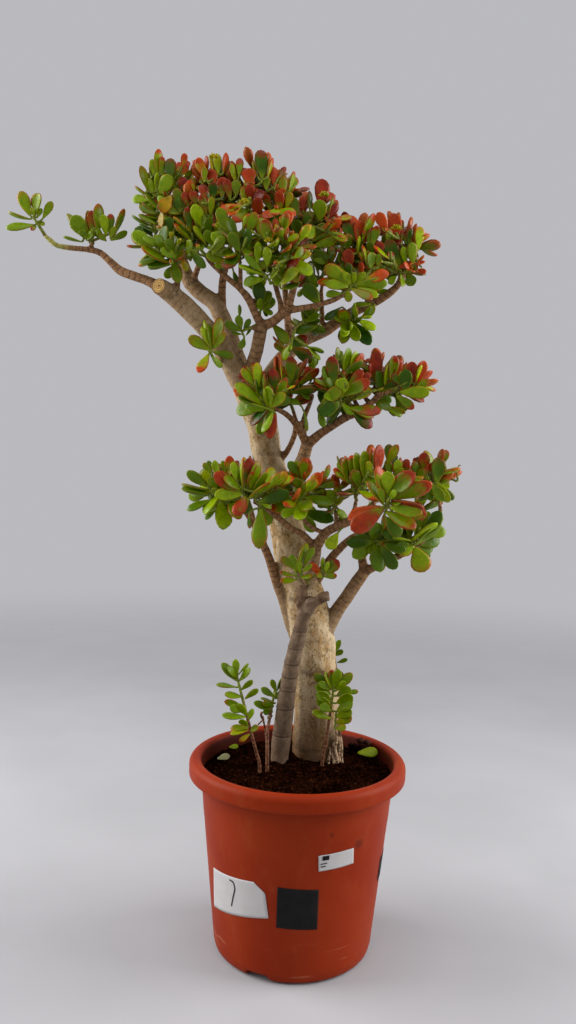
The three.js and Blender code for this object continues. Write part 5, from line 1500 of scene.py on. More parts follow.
def bark_finish(name, pale, warm, dark, limb, twig, foot, rings):
    """Smooth bark with warty pits, broad pale and dark patches, creases across it and ringed twigs.

    Limbs are darker than the trunk and twigs browner still, and the foot darkens towards the soil. Creases
    and folds are darkened with painted shade; ring scars keep their own dark colour.
    """
    bark = Finish(name, Specular_IOR_Level=0.15)
    grain = bark.attribute("place")
    _, _, run = bark.split(grain)
    girth, cut, fold = bark.split(bark.attribute("mood"))
    x, _, height = bark.split(bark.places())
    broad = bark.noise(bark.scaled(grain, (1, 1, 0.45)), 0.045, 3, 0.6)
    patch = bark.noise(bark.scaled(grain, (1, 1, 0.8)), 0.16, 4, 0.65)
    fine = bark.noise(bark.scaled(grain, (1, 1, 0.8)), 0.75, 4, 0.7)
    speck = bark.cells(bark.scaled(grain, (1, 1, 0.8)), 0.26)
    pits = (1 - speck.step(0.1, 0.36)) * patch.step(0.36, 0.52) * (0.2 + girth.step(16, 26) * 0.8)
    colour = bark.mixed(broad.step(0.38, 0.62), pale, warm)
    colour = bark.mixed(patch.step(0.5, 0.68) * 0.28, colour, dark)
    colour = bark.mixed((1 - patch.step(0.34, 0.46)) * 0.45, colour, hue("#d8c3a4"))
    colour = bark.mixed((1 - girth.step(15, 25)) * 0.75, colour,
                        bark.mixed(patch.step(0.45, 0.65) * 0.6, limb, dark))
    slender = 1 - girth.step(6, 13)
    patched = bark.mixed(patch.step(0.45, 0.65) * 0.6, twig, hue("#5a381f"))
    colour = bark.mixed(slender * 0.85, colour, patched)
    wander = bark.noise(bark.scaled(grain, (0.3, 0.3, 0.05)), 0.7, 1)
    strength = (0.25 + slender * 0.35) * (rings * (1 - girth.step(14, 24)))
    ring = (run + wander * 8).wave(9).step(0.84, 1.0) * strength
    crease = (run + wander * 30).wave(21).step(0.96, 1.0) * broad.step(0.45, 0.55) * (0.6 * rings)
    # Painted shade darkens the creases and the folds; the ring scars and the front stem's scar bands are the
    # bark's own dark colour.
    colour = bark.mixed((ring * 0.8 + crease * 0.7 + fold * 0.6).clipped(), colour, hue("#2e1b10"))
    colour = bark.mixed(pits * 0.7, colour, hue("#5f3a1e"))
    colour = bark.mixed(fine.step(0.52, 0.68) * 0.22, colour, hue("#6b4a30"))
    darkened = (1 - (height + (patch - 0.5) * 0.14).step(0.262, 0.39)) * foot
    colour = bark.mixed(darkened * 0.85, colour, hue("#4f2e14"))
    colour = bark.mixed((1 - x.step(-0.36, -0.335)) * 0.85, colour, hue("#a8a555"))
    sawn = bark.near(bark.places(), CUT_MIDDLE) * 1000 + fine * 2.5
    face = bark.mixed(sawn.wave(3.2), hue("#a0763a"), hue("#d0aa68"))
    face = bark.mixed((1 - sawn.step(1.5, 5)) * 0.7 + sawn.step(9.5, 12) * 0.8, face, hue("#4e3018"))
    colour = bark.mixed(cut, colour, face)
    bark.paint("Base Color", colour)
    bark.paint("Roughness", 0.62 + fine * 0.3)
    bark.bump(fine * 0.7 + patch * 0.5 - pits * 0.7 - ring - crease - fold, 0.0014)
    return bark


def root_finish():
    """Pale, dry roots."""
    root = Finish("dry_root", Roughness=0.8, Specular_IOR_Level=0.2)
    cloud = root.noise(root.places(), 300, 3)
    root.paint("Base Color", root.mixed(cloud.step(0.4, 0.65), hue("#ab8f70"), hue("#4c3220")))
    root.bump(cloud, 0.0006)
    return root


def pot_finish():
    """Moulded terracotta-coloured plastic, dusty, with smears of soil near its rim, a scuffed foot and an
    inner wall darkened with painted shade.
    """
    pot = Finish("terracotta_plastic", Specular_IOR_Level=0.1)
    places = pot.places()
    x, y, height = pot.split(places)
    cloud = pot.noise(places, 9, 3)
    grime = pot.noise(pot.scaled(places, (1, 1, 0.5)), 38, 4, 0.65)
    speck = pot.noise(places, 160, 2)
    colour = pot.mixed(cloud.step(0.3, 0.7), hue("#832303"), hue("#8d2c08"))
    colour = pot.mixed(grime.step(0.5, 0.75) * 0.16, colour, hue("#a4562c"))
    smear = (grime.step(0.6, 0.72) * speck.step(0.5, 0.6) * height.step(0.17, 0.25)).clipped()
    colour = pot.mixed(smear * 0.5, colour, hue("#4d2010"))
    low = 1 - height.step(0.02, 0.07)
    scuff = pot.noise(pot.scaled(places, (1, 1, 8)), 14, 3, 0.6).step(0.6, 0.72) * low
    colour = pot.mixed(scuff * 0.35, colour, hue("#c58562"))
    radius = (x * x + y * y) ** 0.5
    # Painted shade darkens the inner wall above the soil, faintly mottled by the grime noise.
    inside = 1 - (radius - height * 0.1).step(0.113, 0.1145)
    darkened = inside * height.step(0.02, 0.03) * (0.75 + grime * 0.6).clipped()
    colour = pot.mixed(darkened.clipped() * 0.9, colour, hue("#3a1208"))
    spots = sum((1 - pot.near(places, spot).step(0.2 * size, size)) for *spot, size in DIRT_SPOTS)
    colour = pot.mixed((spots * grime.step(0.42, 0.6)).clipped() * 0.7, colour, hue("#551c08"))
    pot.paint("Base Color", colour)
    pot.paint("Roughness", 0.4 + grime * 0.2)
    pot.bump(speck * 0.15 + cloud, 0.0006)
    return pot


def soil_finish():
    """Dark, damp potting soil with reddish and pale crumbs."""
    soil = Finish("potting_soil", Roughness=1.0, Specular_IOR_Level=0.0)
    places = soil.places()
    broad, fine = soil.noise(places, 30, 3), soil.noise(places, 260, 4, 0.7)
    colour = soil.mixed(broad.step(0.35, 0.65), hue("#080201"), hue("#190904"))
    colour = soil.mixed(fine.step(0.52, 0.7) * 0.75, colour, hue("#4c2512"))
    crumb = 1 - soil.cells(places, 210).step(0.05, 0.16)
    colour = soil.mixed(crumb * soil.noise(places, 75, 1).step(0.54, 0.64), colour, hue("#7a5640"))
    _, _, height = soil.split(places)
    # Soil higher than 272 mm, on the clods, is painted lighter: painted light on the raised clods.
    colour = soil.mixed(height.step(0.272, 0.279) * 0.8, colour, hue("#4f3328"))
    soil.paint("Base Color", colour)
    soil.bump(fine + broad, 0.003)
    return soil


def paper_finish(name, code, roughness, worn):
    """Coated sticker paper, faintly mottled and worn."""
    paper = Finish(name, Roughness=roughness, Specular_IOR_Level=0.2)
    cloud = paper.noise(paper.places(), 60, 4, 0.6)
    colour = paper.mixed(cloud.step(0.35, 0.75) * worn, hue(code), hue("#8c8478"))
    paper.paint("Base Color", colour)
    paper.paint("Roughness", roughness + cloud * 0.1)
    paper.bump(cloud, 0.0003)
    return paper


# ---------------------------------------------------------------- leaves and green stems

LEAF_RINGS = np.array([0.035, 0.2, 0.42, 0.64, 0.82, 0.945])
LEAF_AROUND = 8


def leaf_surfaces(leaves):
    """Closed surfaces of leaves, each a grid of share s along by turn a round.

    The corner lies at s length along, cos a half-width across, and below the middle by sin a times the depth,
    which is 0.62 of the thickness under the leaf and 0.38 above. The leaf bends up by camber length s^2 and
    its margins by cup half-width cos^2 a. Both ends are drawn to a point.
    """
    def each(name):
        values = np.array([getattr(leaf, name) for leaf in leaves], float)
        return values.reshape(len(leaves), 1, 1, *values.shape[1:])

    s = LEAF_RINGS[None, :, None]
    turn = np.arange(LEAF_AROUND) * math.tau / LEAF_AROUND
    side, under = np.cos(turn)[None, None, :], np.sin(turn)[None, None, :]
    half = leaf_outline(s) * each("width") / 2
    depth = each("thickness") * (0.25 + 0.75 * leaf_outline(s)) * np.where(under > 0, 0.62, 0.38) * under
    rise = each("camber") * each("length") * s**2 + each("cup") * half * side**2 - depth
    grid = (each("root") + each("along") * (s * each("length"))[..., None]
            + each("across") * (half * side)[..., None] + each("normal") * rise[..., None])
    start = each("root")[:, 0]
    end = start + (each("along") * each("length")[..., None]
                   + each("normal") * (each("camber") * each("length"))[..., None])[:, 0]
    corners = np.concatenate([grid.reshape(len(leaves), -1, 3), start, end], axis=1)
    one_place = np.stack(np.broadcast_arrays(s, np.abs(side), -under), -1).reshape(-1, 3)
    one_place = np.concatenate([one_place, [[0, 0.4, 0], [1, 1, 0]]])
    mood = np.array([[leaf.blush, leaf.tone, leaf.gold] for leaf in leaves])
    quads, triangles = ring_faces(len(leaves), len(LEAF_RINGS), LEAF_AROUND)
    values = {"place": np.tile(one_place, (len(leaves), 1)), "mood": np.repeat(mood, len(one_place), axis=0)}
    return corners.reshape(-1, 3), quads, triangles, values


def dress_leaf(leaf, blush, draw):
    """Draws how red, how light and how bent a leaf is, and turns its face part of the way to the light.

    Young leaves are lighter and redder than old ones, and upright ones redder than hanging ones.
    """
    leaf.blush = np.clip(blush + draw(0.3) + 0.12 * (0.5 - leaf.age) + 0.2 * leaf.along[2], 0, 1)
    leaf.tone = np.clip(0.5 + draw(0.45) + 0.25 * (0.5 - leaf.age), 0, 1)
    lean = np.array([draw(0.35), -0.45 + draw(0.35), 0.3 + draw(0.3)])
    leaf.normal = square_to(leaf.along, leaf.normal + lean)
    leaf.across = np.cross(leaf.along, leaf.normal)


def bud_cluster(place):
    """A cluster of small yellow flower buds round the front and top of a place."""
    for k in range(BUD_COUNT):
        rise, turn = 0.15 + 0.85 * (k + 0.5) / BUD_COUNT, 2.4 * k
        level = math.sqrt(1 - rise * rise)
        along = unit(np.array([level * math.cos(turn), level * math.sin(turn) - 0.5, rise]))
        bud = Leaf(np.array(place, float) + along * 2, along, square_to(along, np.array([0.3, -1, 0.5])),
                   BUD_LENGTH, BUD_LENGTH * 0.36, BUD_LENGTH * 0.3)
        bud.tone, bud.gold = 1.0, 0.7
        yield bud


def stem_tube(rows, around, low, high):
    """A green stem whose mood runs from a low to a high share, brown below 0 and green from 1."""
    corners, quads, triangles, values = tube(rows, around)
    values["mood"][:, 0] = mix(low, high, values["mood"][:, 0])
    return corners, quads, triangles, values


def make_spray(spray, draw, finishes):
    """A spray's leaves and green stems, as one piece that stands for its solid."""
    shape = Shape()
    blush = SPRAY_BLUSH.get(spray.name, 0.35)
    for leaf in spray.leaves:
        dress_leaf(leaf, blush, draw)
    leaves = spray.leaves + spray.placed + spray.behind
    if spray.is_sucker:
        for leaf in leaves:
            leaf.tone *= SUCKER_SHADE
    leaves += [bud for at in BUDS.get(spray.name, []) for bud in bud_cluster(at)]
    for leaf in leaves:
        leaf.camber, leaf.cup = LEAF_CAMBER + draw(0.1), LEAF_CUP + draw(0.24)
        leaf.thickness *= LEAF_SWELL
    shape.add(*leaf_surfaces(leaves))
    for shoot in spray.shoots:
        sunk = shoot.start - unit(shoot.tip - shoot.start) * 2
        rows = mix(np.array([*sunk, shoot.radius]), np.array([*shoot.tip, SHOOT_TIP_RADIUS]),
                   np.linspace(0, 1, 6)[:, None])
        shape.add(*stem_tube(rows, 7, *((-0.5, 0.9) if spray.is_sucker else (0.35, 1))), slot=1)
    for rows in leaf_stems(spray):
        shape.add(*stem_tube(rows, 5, 0.5, 1), slot=1)
    shares = (-0.6, 0.2) if spray.is_sucker else (-0.2, 1.2)
    for path in FURTHER_STEMS.get(spray.name, []):
        shape.add(*stem_tube(through_points(path, 4), 6, *shares), slot=1)
    if spray.is_sucker:
        shape.add(*stem_tube(through_points(spray.stalk, 4), 7, -1, -0.5), slot=1)
    piece(f"{spray.name}.dressed", shape.mesh(spray.name), finishes, [spray.name])


# ---------------------------------------------------------------- wood


def grown_wood(paths, voxel):
    """One skin over stems carried along paths, smoothed where they meet.

    The stems are joined on a lattice of small cubes. Each corner then moves part of the way to the middle of
    its neighbours and nearly as far back again, several times over. Returns corners in millimetres and the
    mesh.
    """
    shape = Shape()
    for path in paths:
        shape.add(*tube(path, WOOD_AROUND))
    rough = added("rough_wood", shape.mesh("rough_wood"))
    skin = rough.modifiers.new("skin", "REMESH")
    skin.mode = "VOXEL"
    skin.voxel_size = voxel * 0.001
    mesh = finished_mesh(rough)
    bpy.data.objects.remove(rough)
    corners = np.empty(len(mesh.vertices) * 3)
    mesh.vertices.foreach_get("co", corners)
    corners = corners.reshape(-1, 3) * 1000
    edges = np.empty(len(mesh.edges) * 2, int)
    mesh.edges.foreach_get("vertices", edges)
    edges = edges.reshape(-1, 2)
    ends = np.concatenate([edges, edges[:, ::-1]])
    degree = np.bincount(ends[:, 0], minlength=len(corners))[:, None]
    for share in (0.5, -0.52) * SMOOTHING_PASSES:
        around = np.stack([np.bincount(ends[:, 0], corners[ends[:, 1], i], len(corners))
                           for i in range(3)], 1)
        corners = corners + share * (around / degree - corners)
    return corners, mesh


def grain_of(corners, paths):
    """Each corner's place [across, up, along] in the nearest stem, that stem's radius and its middle."""
    middles, frames = [], []
    for path in paths:
        along, across, up = path_frames(path[:, :3])
        middles.append(np.hstack([path, run_length(path[:, :3])[:, None]]))
        frames.append(np.stack([across, up, along], 1))
    middles, frames = np.vstack(middles), np.vstack(frames)
    nearest = np.concatenate([
        np.argmin(np.linalg.norm(some[:, None] - middles[:, :3], axis=-1) - middles[:, 3], axis=1)
        for some in np.array_split(corners, len(corners) // 500 + 1)
    ])
    offset = corners - middles[nearest, :3]
    grain = np.einsum("nij,nj->ni", frames[nearest], offset)
    grain[:, 2] += middles[nearest, 4]
    return grain, middles[nearest, 3], middles[nearest, :3]


def make_wood(name, paths, voxel, relief, finish, cuts=()):
    """Wood grown over paths, with its relief pushed out from each stem's middle, and pale at its cuts."""
    corners, mesh = grown_wood(paths, voxel)
    grain, girth, middle = grain_of(corners, paths)
    rise, fold = relief(grain, girth, corners)
    cut = np.zeros(len(corners))
    for centre, heading, radius in cuts:
        heading = unit(np.array(heading, float))
        offset = corners - np.array(centre)
        depth = offset @ heading
        sawn = (depth > 0) & (np.linalg.norm(offset, axis=1) < radius)
        corners = corners - np.where(sawn, depth, 0)[:, None] * heading
        cut = np.maximum(cut, sawn)
    corners = corners + unit(corners - middle) * (rise * (1 - cut))[:, None]
    mesh.vertices.foreach_set("co", (corners * 0.001).ravel())
    mesh.update()
    mesh.shade_smooth()
    set_values(mesh, "place", grain)
    set_values(mesh, "mood", np.stack([girth, cut, fold], 1))
    piece(f"{name}.dressed", mesh, [finish], [name])


def trunk_relief(grain, girth, corners):
    """Relief of the trunk and limbs, and how deep in a fold each corner lies.

    The trunk has flutes, a sine of five waves round it that drift with height, and lumps. Folds run across it
    where FOLDS names a height and a side; their depth also darkens the bark there as painted shade.
    """
    turn = np.arctan2(grain[:, 1], grain[:, 0])
    thick = soft_step(14, 30, girth)
    flutes = np.sin(5 * turn + grain[:, 2] / 90) * 0.9 + np.sin(3 * turn - grain[:, 2] / 60) * 0.9
    rise = thick * flutes + lumps(corners, 26, 3) * 0.05 * girth + lumps(corners, 9, 4) * 0.25
    fold = np.zeros(len(corners))
    for height, toward, width, depth in FOLDS:
        wobble = lumps(corners * [1, 1, 0], 15, 5) * 2
        near = np.exp(-(((corners[:, 2] - height + wobble) / width) ** 2))
        facing = soft_step(0.1, 0.8, np.cos(turn - math.radians(toward)))
        fold = np.maximum(fold, near * facing * thick)
        rise -= depth * near * facing * thick
    return rise, fold


def front_stem_relief(grain, girth, corners):
    """Relief of the front stem: a groove and a lip at each ring scar, and gnarls on its knob."""
    fold = np.zeros(len(corners))
    rise = lumps(corners, 14, 8) * 0.35
    for height in RING_SCARS:
        wobble = lumps(corners * [1, 1, 0], 12, 9) * 1.5
        offset = corners[:, 2] - height + wobble
        groove = np.exp(-((offset / 1.1) ** 2))
        rise += 0.6 * np.exp(-(((offset - 2.6) / 1.8) ** 2)) - 0.8 * groove
        band = np.exp(-(((offset - 4) / 6) ** 2))
        # The fold value darkens the bark: painted shade in the groove, and a dark band of the scar's own
        # colour round it.
        fold = np.maximum(fold, np.maximum(groove * 0.7, band * 0.5))
    knob = soft_step(488, 508, corners[:, 2])
    rise = rise + knob * (lumps(corners, 8, 10) * 2.6 + lumps(corners, 4, 11) * 1.0)
    rise = rise - 2.0 * soft_step(300, 262, corners[:, 2])
    # On the knob it darkens patches among the gnarls as painted shade.
    fold = np.maximum(fold, knob * soft_step(0.2, 0.7, -lumps(corners, 6, 10)) * 0.8)
    return rise, fold


def limb_paths(limbs, sprays):
    """Smooth paths of limbs, and of the woody stalks of the sprays on them."""
    paths = [through_points(LIMB_FEET.get(name, []) + rows, 6) for name, rows in limbs.items()]
    planned = {name: limb for name, limb, *_ in SPRAYS}
    stalks = [spray for spray in sprays if planned.get(spray.name) in limbs]
    return paths + [through_points(spray.stalk, 3) for spray in stalks]


# ---------------------------------------------------------------- pot, soil and stickers


def wall_radius(height):
    """Outside radius of the pot's wall at a height."""
    share = (height - WALL_FOOT_HEIGHT) / (POT_HEIGHT - WALL_FOOT_HEIGHT)
    return mix(WALL_FOOT_RADIUS, WALL_TOP_RADIUS, share)


def rounded(profile, radius, steps=3):
    """A profile with its inner corners replaced by quadratic curves between points a radius either side."""
    profile = np.array(profile, float)
    rounds = [profile[:1]]
    for before, corner, after in zip(profile[:-2], profile[1:-1], profile[2:]):
        reach = [min(radius, np.linalg.norm(side - corner) * 0.45) for side in (before, after)]
        first = corner + unit(before - corner) * reach[0]
        last = corner + unit(after - corner) * reach[1]
        rounds.append(on_curve(first, corner, last, np.linspace(0, 1, steps + 1)))
    return np.vstack([*rounds, profile[-1:]])


def turned(profile, around):
    """A closed surface of a profile [radius, height] turned round Z, which starts and ends on the axis.

    Seen from above, the rings of a profile that runs up its outside follow the turn.
    """
    rings, ends = profile[1:-1], profile[[0, -1]]
    turn = np.arange(around) * math.tau / around
    radius, height = rings[:, :1], rings[:, 1:]
    grid = np.stack(np.broadcast_arrays(radius * np.cos(turn), radius * np.sin(turn), height), -1)
    poles = np.stack([ends[:, 0], ends[:, 0], ends[:, 1]], 1)
    quads, triangles = ring_faces(1, len(rings), around)
    return np.concatenate([grid.reshape(-1, 3), poles]), quads, triangles


def make_pot(finish):
    """The pot: a turned wall with a rolled lip, faint moulding rings, drain notches and drain holes."""
    lip_inside, lip_bottom = RIM_RADIUS - LIP_THICKNESS, POT_HEIGHT - LIP_DROP
    heights = np.linspace(WALL_FOOT_HEIGHT + 4, POT_HEIGHT - 24, 90)
    ridge = sum(np.exp(-(((heights - ring) / 1.6) ** 2)) for ring in MOULD_RINGS)
    wall = np.stack([wall_radius(heights) + 0.35 * ridge, heights], 1)
    inner = np.linspace(POT_HEIGHT - 12, 22, 12)
    profile = np.vstack([
        rounded([[0, 0], [CENTRE_PAD_RADIUS, 0], [CENTRE_PAD_RADIUS + 4, FLOOR_RISE],
                 [FOOT_RADIUS - FOOT_RING - 1, FLOOR_RISE], [FOOT_RADIUS - FOOT_RING, 0], [FOOT_RADIUS, 0],
                 [FOOT_RADIUS + 6, 3.5], [WALL_FOOT_RADIUS, WALL_FOOT_HEIGHT], wall[0]], 3),
        wall[1:-1],
        rounded([wall[-1], [wall_radius(POT_HEIGHT - 20), POT_HEIGHT - 20],
                 [WALL_TOP_RADIUS + 2, POT_HEIGHT - 5], [lip_inside - 0.5, POT_HEIGHT - 5],
                 [lip_inside, lip_bottom], [RIM_RADIUS, lip_bottom], [RIM_RADIUS, POT_HEIGHT - 6],
                 [RIM_RADIUS - 5, POT_HEIGHT], [WALL_TOP_RADIUS + 1, POT_HEIGHT],
                 [WALL_TOP_RADIUS - 2, POT_HEIGHT - 3],
                 [wall_radius(POT_HEIGHT - 12) - WALL, POT_HEIGHT - 12]], 4, 5),
        np.stack([wall_radius(inner[1:-1]) - WALL, inner[1:-1]], 1),
        rounded([[wall_radius(22) - WALL, 22], [wall_radius(17) - WALL, 17], [FOOT_RADIUS + 2, FLOOR_TOP],
                 [0, FLOOR_TOP]], 3),
    ])
    corners, quads, triangles = turned(profile, POT_AROUND)
    turn = np.degrees(np.arctan2(corners[:, 1], corners[:, 0])) - NOTCH_START
    apart = 360 / NOTCH_COUNT
    sideways = np.radians((turn + apart / 2) % apart - apart / 2) * FOOT_RADIUS
    notch = soft_step(NOTCH_WIDTH / 2 + 1.5, NOTCH_WIDTH / 2 - 1.5, np.abs(sideways)) * NOTCH_HEIGHT
    radius = np.hypot(corners[:, 0], corners[:, 1])
    foot = (radius > FOOT_RADIUS - FOOT_RING - 2) & (corners[:, 2] < NOTCH_HEIGHT)
    corners[:, 2] = np.where(foot, np.maximum(corners[:, 2], notch), corners[:, 2])
    shape = Shape()
    shape.add(corners, quads, triangles, {})
    made = added("turned_pot", shape.mesh("turned_pot"))
    drains = Shape()
    for i in range(NOTCH_COUNT):
        at = math.radians(NOTCH_START + i * apart)
        middle = [DRAIN_CIRCLE * math.cos(at), DRAIN_CIRCLE * math.sin(at)]
        drains.add(*tube([[*middle, 2, DRAIN_RADIUS], [*middle, 20, DRAIN_RADIUS]], 20))
    cutter = added("drains", drains.mesh("drains"))
    cut = made.modifiers.new("drains", "BOOLEAN")
    cut.object = cutter
    mesh = finished_mesh(made)
    for old in (made, cutter):
        bpy.data.objects.remove(old)
    mesh.shade_smooth()
    mesh.set_sharp_from_angle(angle=math.radians(50))
    piece("pot.dressed", mesh, [finish], ["pot"])


def soil_height(x, y):
    """Height of the soil's surface: a low mound round the trunk, with clods and finer lumps on it."""
    places = np.stack([x, y, np.zeros_like(x)], -1).reshape(-1, 3)
    rough = lumps(places, 19, 21) * 2.4 + lumps(places, 8, 22) * 1.9 + lumps(places, 3, 23) * 0.9
    mound = SOIL_MOUND * np.exp(-((np.hypot(x - 20, y - 45) / 75) ** 2))
    return SOIL_HEIGHT + mound + rough.reshape(x.shape)


def make_soil(finish, rng):
    """The soil that fills the pot, with loose crumbs on it, and the clods at its edge."""
    outer = wall_radius(SOIL_HEIGHT) - WALL - FIT_GAP
    rings = np.linspace(1, 0.008, SOIL_RINGS)
    profile = np.vstack([
        [[0, FLOOR_TOP + FIT_GAP], [FOOT_RADIUS + 1, FLOOR_TOP + FIT_GAP],
         [wall_radius(18) - WALL - FIT_GAP, 18],
         [wall_radius(140) - WALL - FIT_GAP, 140]],
        np.stack([rings * outer, np.full(SOIL_RINGS, SOIL_HEIGHT)], 1),
        [[0, SOIL_HEIGHT]],
    ])
    corners, quads, triangles = turned(profile, SOIL_AROUND)
    top = corners[:, 2] > SOIL_HEIGHT - 1
    corners[top, 2] = soil_height(corners[top, 0], corners[top, 1])
    shape = Shape()
    shape.add(corners, quads, triangles, {})
    turn = rng.uniform(0, math.tau, CRUMB_COUNT)
    reach = outer * 0.97 * np.sqrt(rng.uniform(0, 1, CRUMB_COUNT))
    size = 0.8 + 3.4 * rng.uniform(0, 1, CRUMB_COUNT) ** 3
    x, y = reach * np.cos(turn), reach * np.sin(turn)
    middles = np.stack([x, y, soil_height(x, y) + size * 0.3], 1)
    shape.add(*pebble_surfaces(middles, size, rng))
    piece("soil.dressed", shape.mesh("soil"), [finish], ["soil"])
    rows = np.array(CLODS)
    shape = Shape()
    shape.add(*pebble_surfaces(rows[:, :3], rows[:, 3], rng))
    piece("clods.dressed", shape.mesh("clods"), [finish])


def pebble_surfaces(middles, sizes, rng):
    """Crumbs of twelve corners: five at each of two heights and two ends, each pushed in or out at random."""
    count = len(middles)
    turn = np.arange(5) * math.tau / 5
    rings = [np.stack([np.cos(turn + i * 0.63) * 0.9, np.sin(turn + i * 0.63) * 0.9, np.full(5, h)], 1)
             for i, h in enumerate((-0.45, 0.45))]
    unit_shape = np.vstack([*rings, [[0, 0, -0.9], [0, 0, 0.9]]])
    stretch = rng.uniform(0.6, 1.3, (count, 1, 3))
    corners = unit_shape * stretch * rng.uniform(0.75, 1.2, (count, 12, 1)) * sizes[:, None, None]
    quads, triangles = ring_faces(count, 2, 5)
    return (corners + middles[:, None]).reshape(-1, 3), quads, triangles, {}


def on_wall(turn, right, height, proud):
    """A place on the pot's wall, proud of it: [to the right, height] as seen square on at its turn."""
    at = math.radians(turn)
    outward, sideways = np.array([math.cos(at), math.sin(at), 0]), np.array([-math.sin(at), math.cos(at), 0])
    right, height = np.broadcast_arrays(np.asarray(right, float), np.asarray(height, float))
    radius = wall_radius(height) + proud
    depth = np.sqrt(radius**2 - right**2)
    return outward * depth[..., None] + sideways * right[..., None] + Z * height[..., None]


def between(line, steps):
    """Places at even distances along a line of [right, height] points."""
    line = np.array(line, float)
    length = np.concatenate([[0], np.cumsum(np.linalg.norm(np.diff(line, axis=0), axis=1))])
    at = np.linspace(0, length[-1], steps)
    return np.stack([np.interp(at, length, line[:, i]) for i in range(2)], 1)


def make_sticker(name, turn, left, right, finish, proud=0.35):
    """A sticker ruled straight across from its left edge to its right edge, bent round the wall."""
    share = np.linspace(0, 1, STICKER_COLUMNS)[None, :, None]
    flat = mix(between(left, STICKER_ROWS)[:, None], between(right, STICKER_ROWS)[:, None], share)
    lift = proud + 0.25 * soft_step(0.8, 1, np.abs(2 * share[..., 0] - 1)) * np.ones((STICKER_ROWS, 1))
    face = on_wall(turn, flat[..., 0], flat[..., 1], lift)
    mesh = bpy.data.meshes.new(name)
    i = np.arange(STICKER_ROWS * STICKER_COLUMNS).reshape(STICKER_ROWS, STICKER_COLUMNS)
    quads = np.stack([i[:-1, :-1], i[:-1, 1:], i[1:, 1:], i[1:, :-1]], -1).reshape(-1, 4)
    mesh.from_pydata((face.reshape(-1, 3) * 0.001).tolist(), [], quads.tolist())
    mesh.shade_smooth()
    made = piece(f"{name}.dressed", mesh, [finish], [name] if name.startswith("label") else [])
    thick = made.modifiers.new("thickness", "SOLIDIFY")
    thick.thickness = LABEL_THICKNESS * 0.0005
    thick.offset = 1


# ---------------------------------------------------------------- the plant

wood_finish = bark_finish("bark", hue("#c0aa86"), hue("#a58556"), hue("#775838"), hue("#8f7454"),
                          hue("#936843"), 1.0, 1.0)
grey_finish = bark_finish("grey_bark", hue("#7f6b57"), hue("#6c5743"), hue("#574431"), hue("#776350"),
                          hue("#6d543c"), 0.35, 0.15)
green_leaf = leaf_finish()
green_stem = stem_finish()

sprays = grow_sprays()
draw = make_draw(31)
for spray in sprays:
    make_spray(spray, draw, [green_leaf, green_stem])

make_wood("trunk", [*limb_paths(LIMBS, sprays), through_points(ROOT_FLARE, 6)], 2.0, trunk_relief,
          wood_finish, [[LIMBS["cut_stub"][-1][:3], [-5, -11, 2], 12]])
make_wood("front_stem", limb_paths(FRONT_LIMBS, sprays), 1.4, front_stem_relief, grey_finish)

shape = Shape()
for rows in ROOTS:
    shape.add(*tube(through_points(rows, 4), 7))
piece("roots.dressed", shape.mesh("roots"), [root_finish()])

for name, root, turn, length, width, thickness in FALLEN + LOOSE:
    heading = np.array([math.cos(math.radians(turn)), math.sin(math.radians(turn)), 0])
    fallen = Leaf(np.array(root) + Z * 0.3 * width, heading, square_to(heading, np.array([0, -0.75, 0.65])),
                  length, width, thickness)
    is_green = name.endswith("green")
    fallen.tone, fallen.gold = (0.6, 0.15) if is_green else (0.9, 1.4)
    fallen.blush, fallen.camber, fallen.cup = 0.0, 0.1, 0.15
    shape = Shape()
    shape.add(*leaf_surfaces([fallen]))
    piece(f"{name}.dressed", shape.mesh(name), [green_leaf],
          [] if name.startswith("loose") else [name])

make_pot(pot_finish())
make_soil(soil_finish(), np.random.default_rng(5))
white = paper_finish("white_sticker", "#bab7b6", 0.6, 0.12)
black = paper_finish("black_sticker", "#060405", 0.55, 0.02)
make_sticker("label_white", 232.3, [[-58, 76], [-52, 139]], [[49, 99], [46, 135], [30, 148]], white)
make_sticker("label_black", 273, [[-28, 87], [-28, 147]], [[28, 85], [28, 144]], black)
make_sticker("label_small", 296.6, [[-28, 171], [-30, 194]], [[25, 174], [23, 197]], white)
for name, turn, left, right in PRINT:
    make_sticker(name, turn, left, right, black, 0.95)
make_sticker("side_sticker", 350, [[-22, 119], [-22, 154]], [[22, 119], [22, 154]], black)

# ---------------------------------------------------------------- floor, light and camera


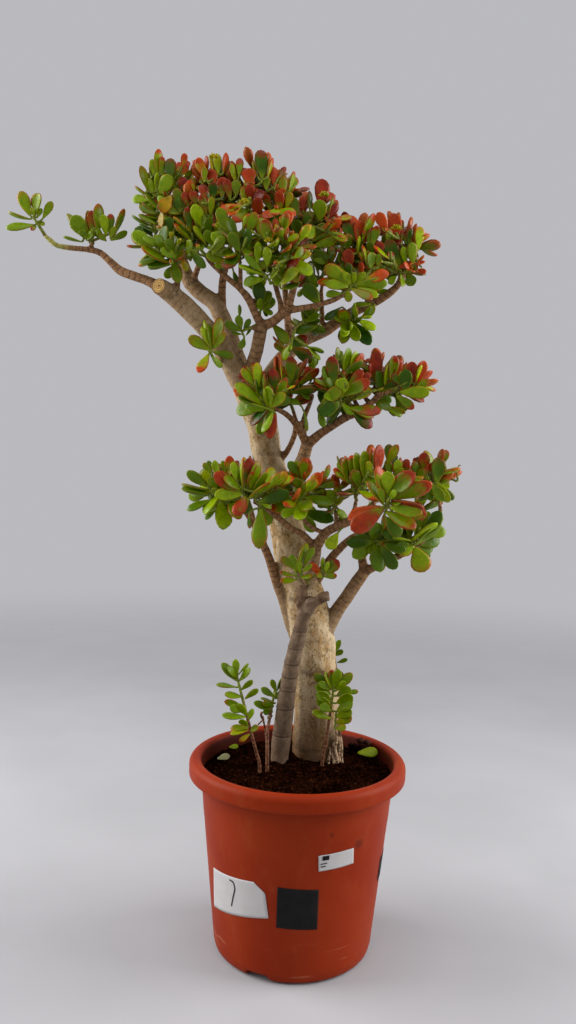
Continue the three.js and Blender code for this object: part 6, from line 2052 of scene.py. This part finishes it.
def make_floor():
    """A round floor that fades out far from the plant."""
    finish = Finish("studio_floor", Roughness=0.7)
    x, y, _ = finish.split(finish.places())
    cloud = finish.noise(finish.places(), 3, 3).step(0.3, 0.7)
    finish.paint("Base Color", finish.mixed(cloud, hue("#a1a0a2"), hue("#a7a6a8")))
    finish.paint("Alpha", 1 - ((x * x + y * y) ** 0.5).step(1.0, 3.4))
    turn = np.arange(FLOOR_CORNERS) * math.tau / FLOOR_CORNERS
    mesh = bpy.data.meshes.new("floor")
    rim = np.stack([FLOOR_RADIUS * np.cos(turn), FLOOR_RADIUS * np.sin(turn), np.zeros(FLOOR_CORNERS)], 1)
    mesh.from_pydata(rim.tolist(), [], [list(range(FLOOR_CORNERS))])
    mesh.materials.append(finish.material)
    floor = added("floor", mesh)


def make_light(name, place, aim, size, power):
    """A square soft white light, turned to face a point."""
    light = bpy.data.lights.new(name, "AREA")
    light.size = size
    light.energy = power
    made = added(name, light)
    made.location = place
    made.rotation_euler = (Vector(aim) - Vector(place)).to_track_quat("-Z", "Y").to_euler()


def make_camera():
    """A camera in front of the plant that looks a little down and is held slightly tilted."""
    placed = np.eye(4)
    placed[:3] = np.stack([RIGHT, UP, -FORWARD, CAMERA_PLACE], 1)
    lens = bpy.data.cameras.new("camera")
    lens.lens = CAMERA_LENS
    camera = added("camera", lens)
    camera.matrix_world = Matrix(placed.tolist())
    bpy.context.scene.camera = camera


def make_world():
    """An even pale light from all round, and plain handling of colours."""
    world = bpy.data.worlds.new("studio")
    world.use_nodes = True
    background = world.node_tree.nodes["Background"]
    background.inputs["Color"].default_value = hue("#e6e6eb")
    background.inputs["Strength"].default_value = WORLD_STRENGTH
    bpy.context.scene.world = world
    bpy.context.scene.view_settings.view_transform = "Standard"


make_floor()
make_world()
make_light("left_light", (-1.9, 0.1, 1.3), (0, 0, 0.55), 1.6, 56)
make_light("right_light", (1.9, 0.0, 1.2), (0, 0, 0.5), 1.5, 52)
make_light("top_light", (0.0, -0.7, 2.6), (0, 0, 0.8), 1.2, 10)
make_camera()
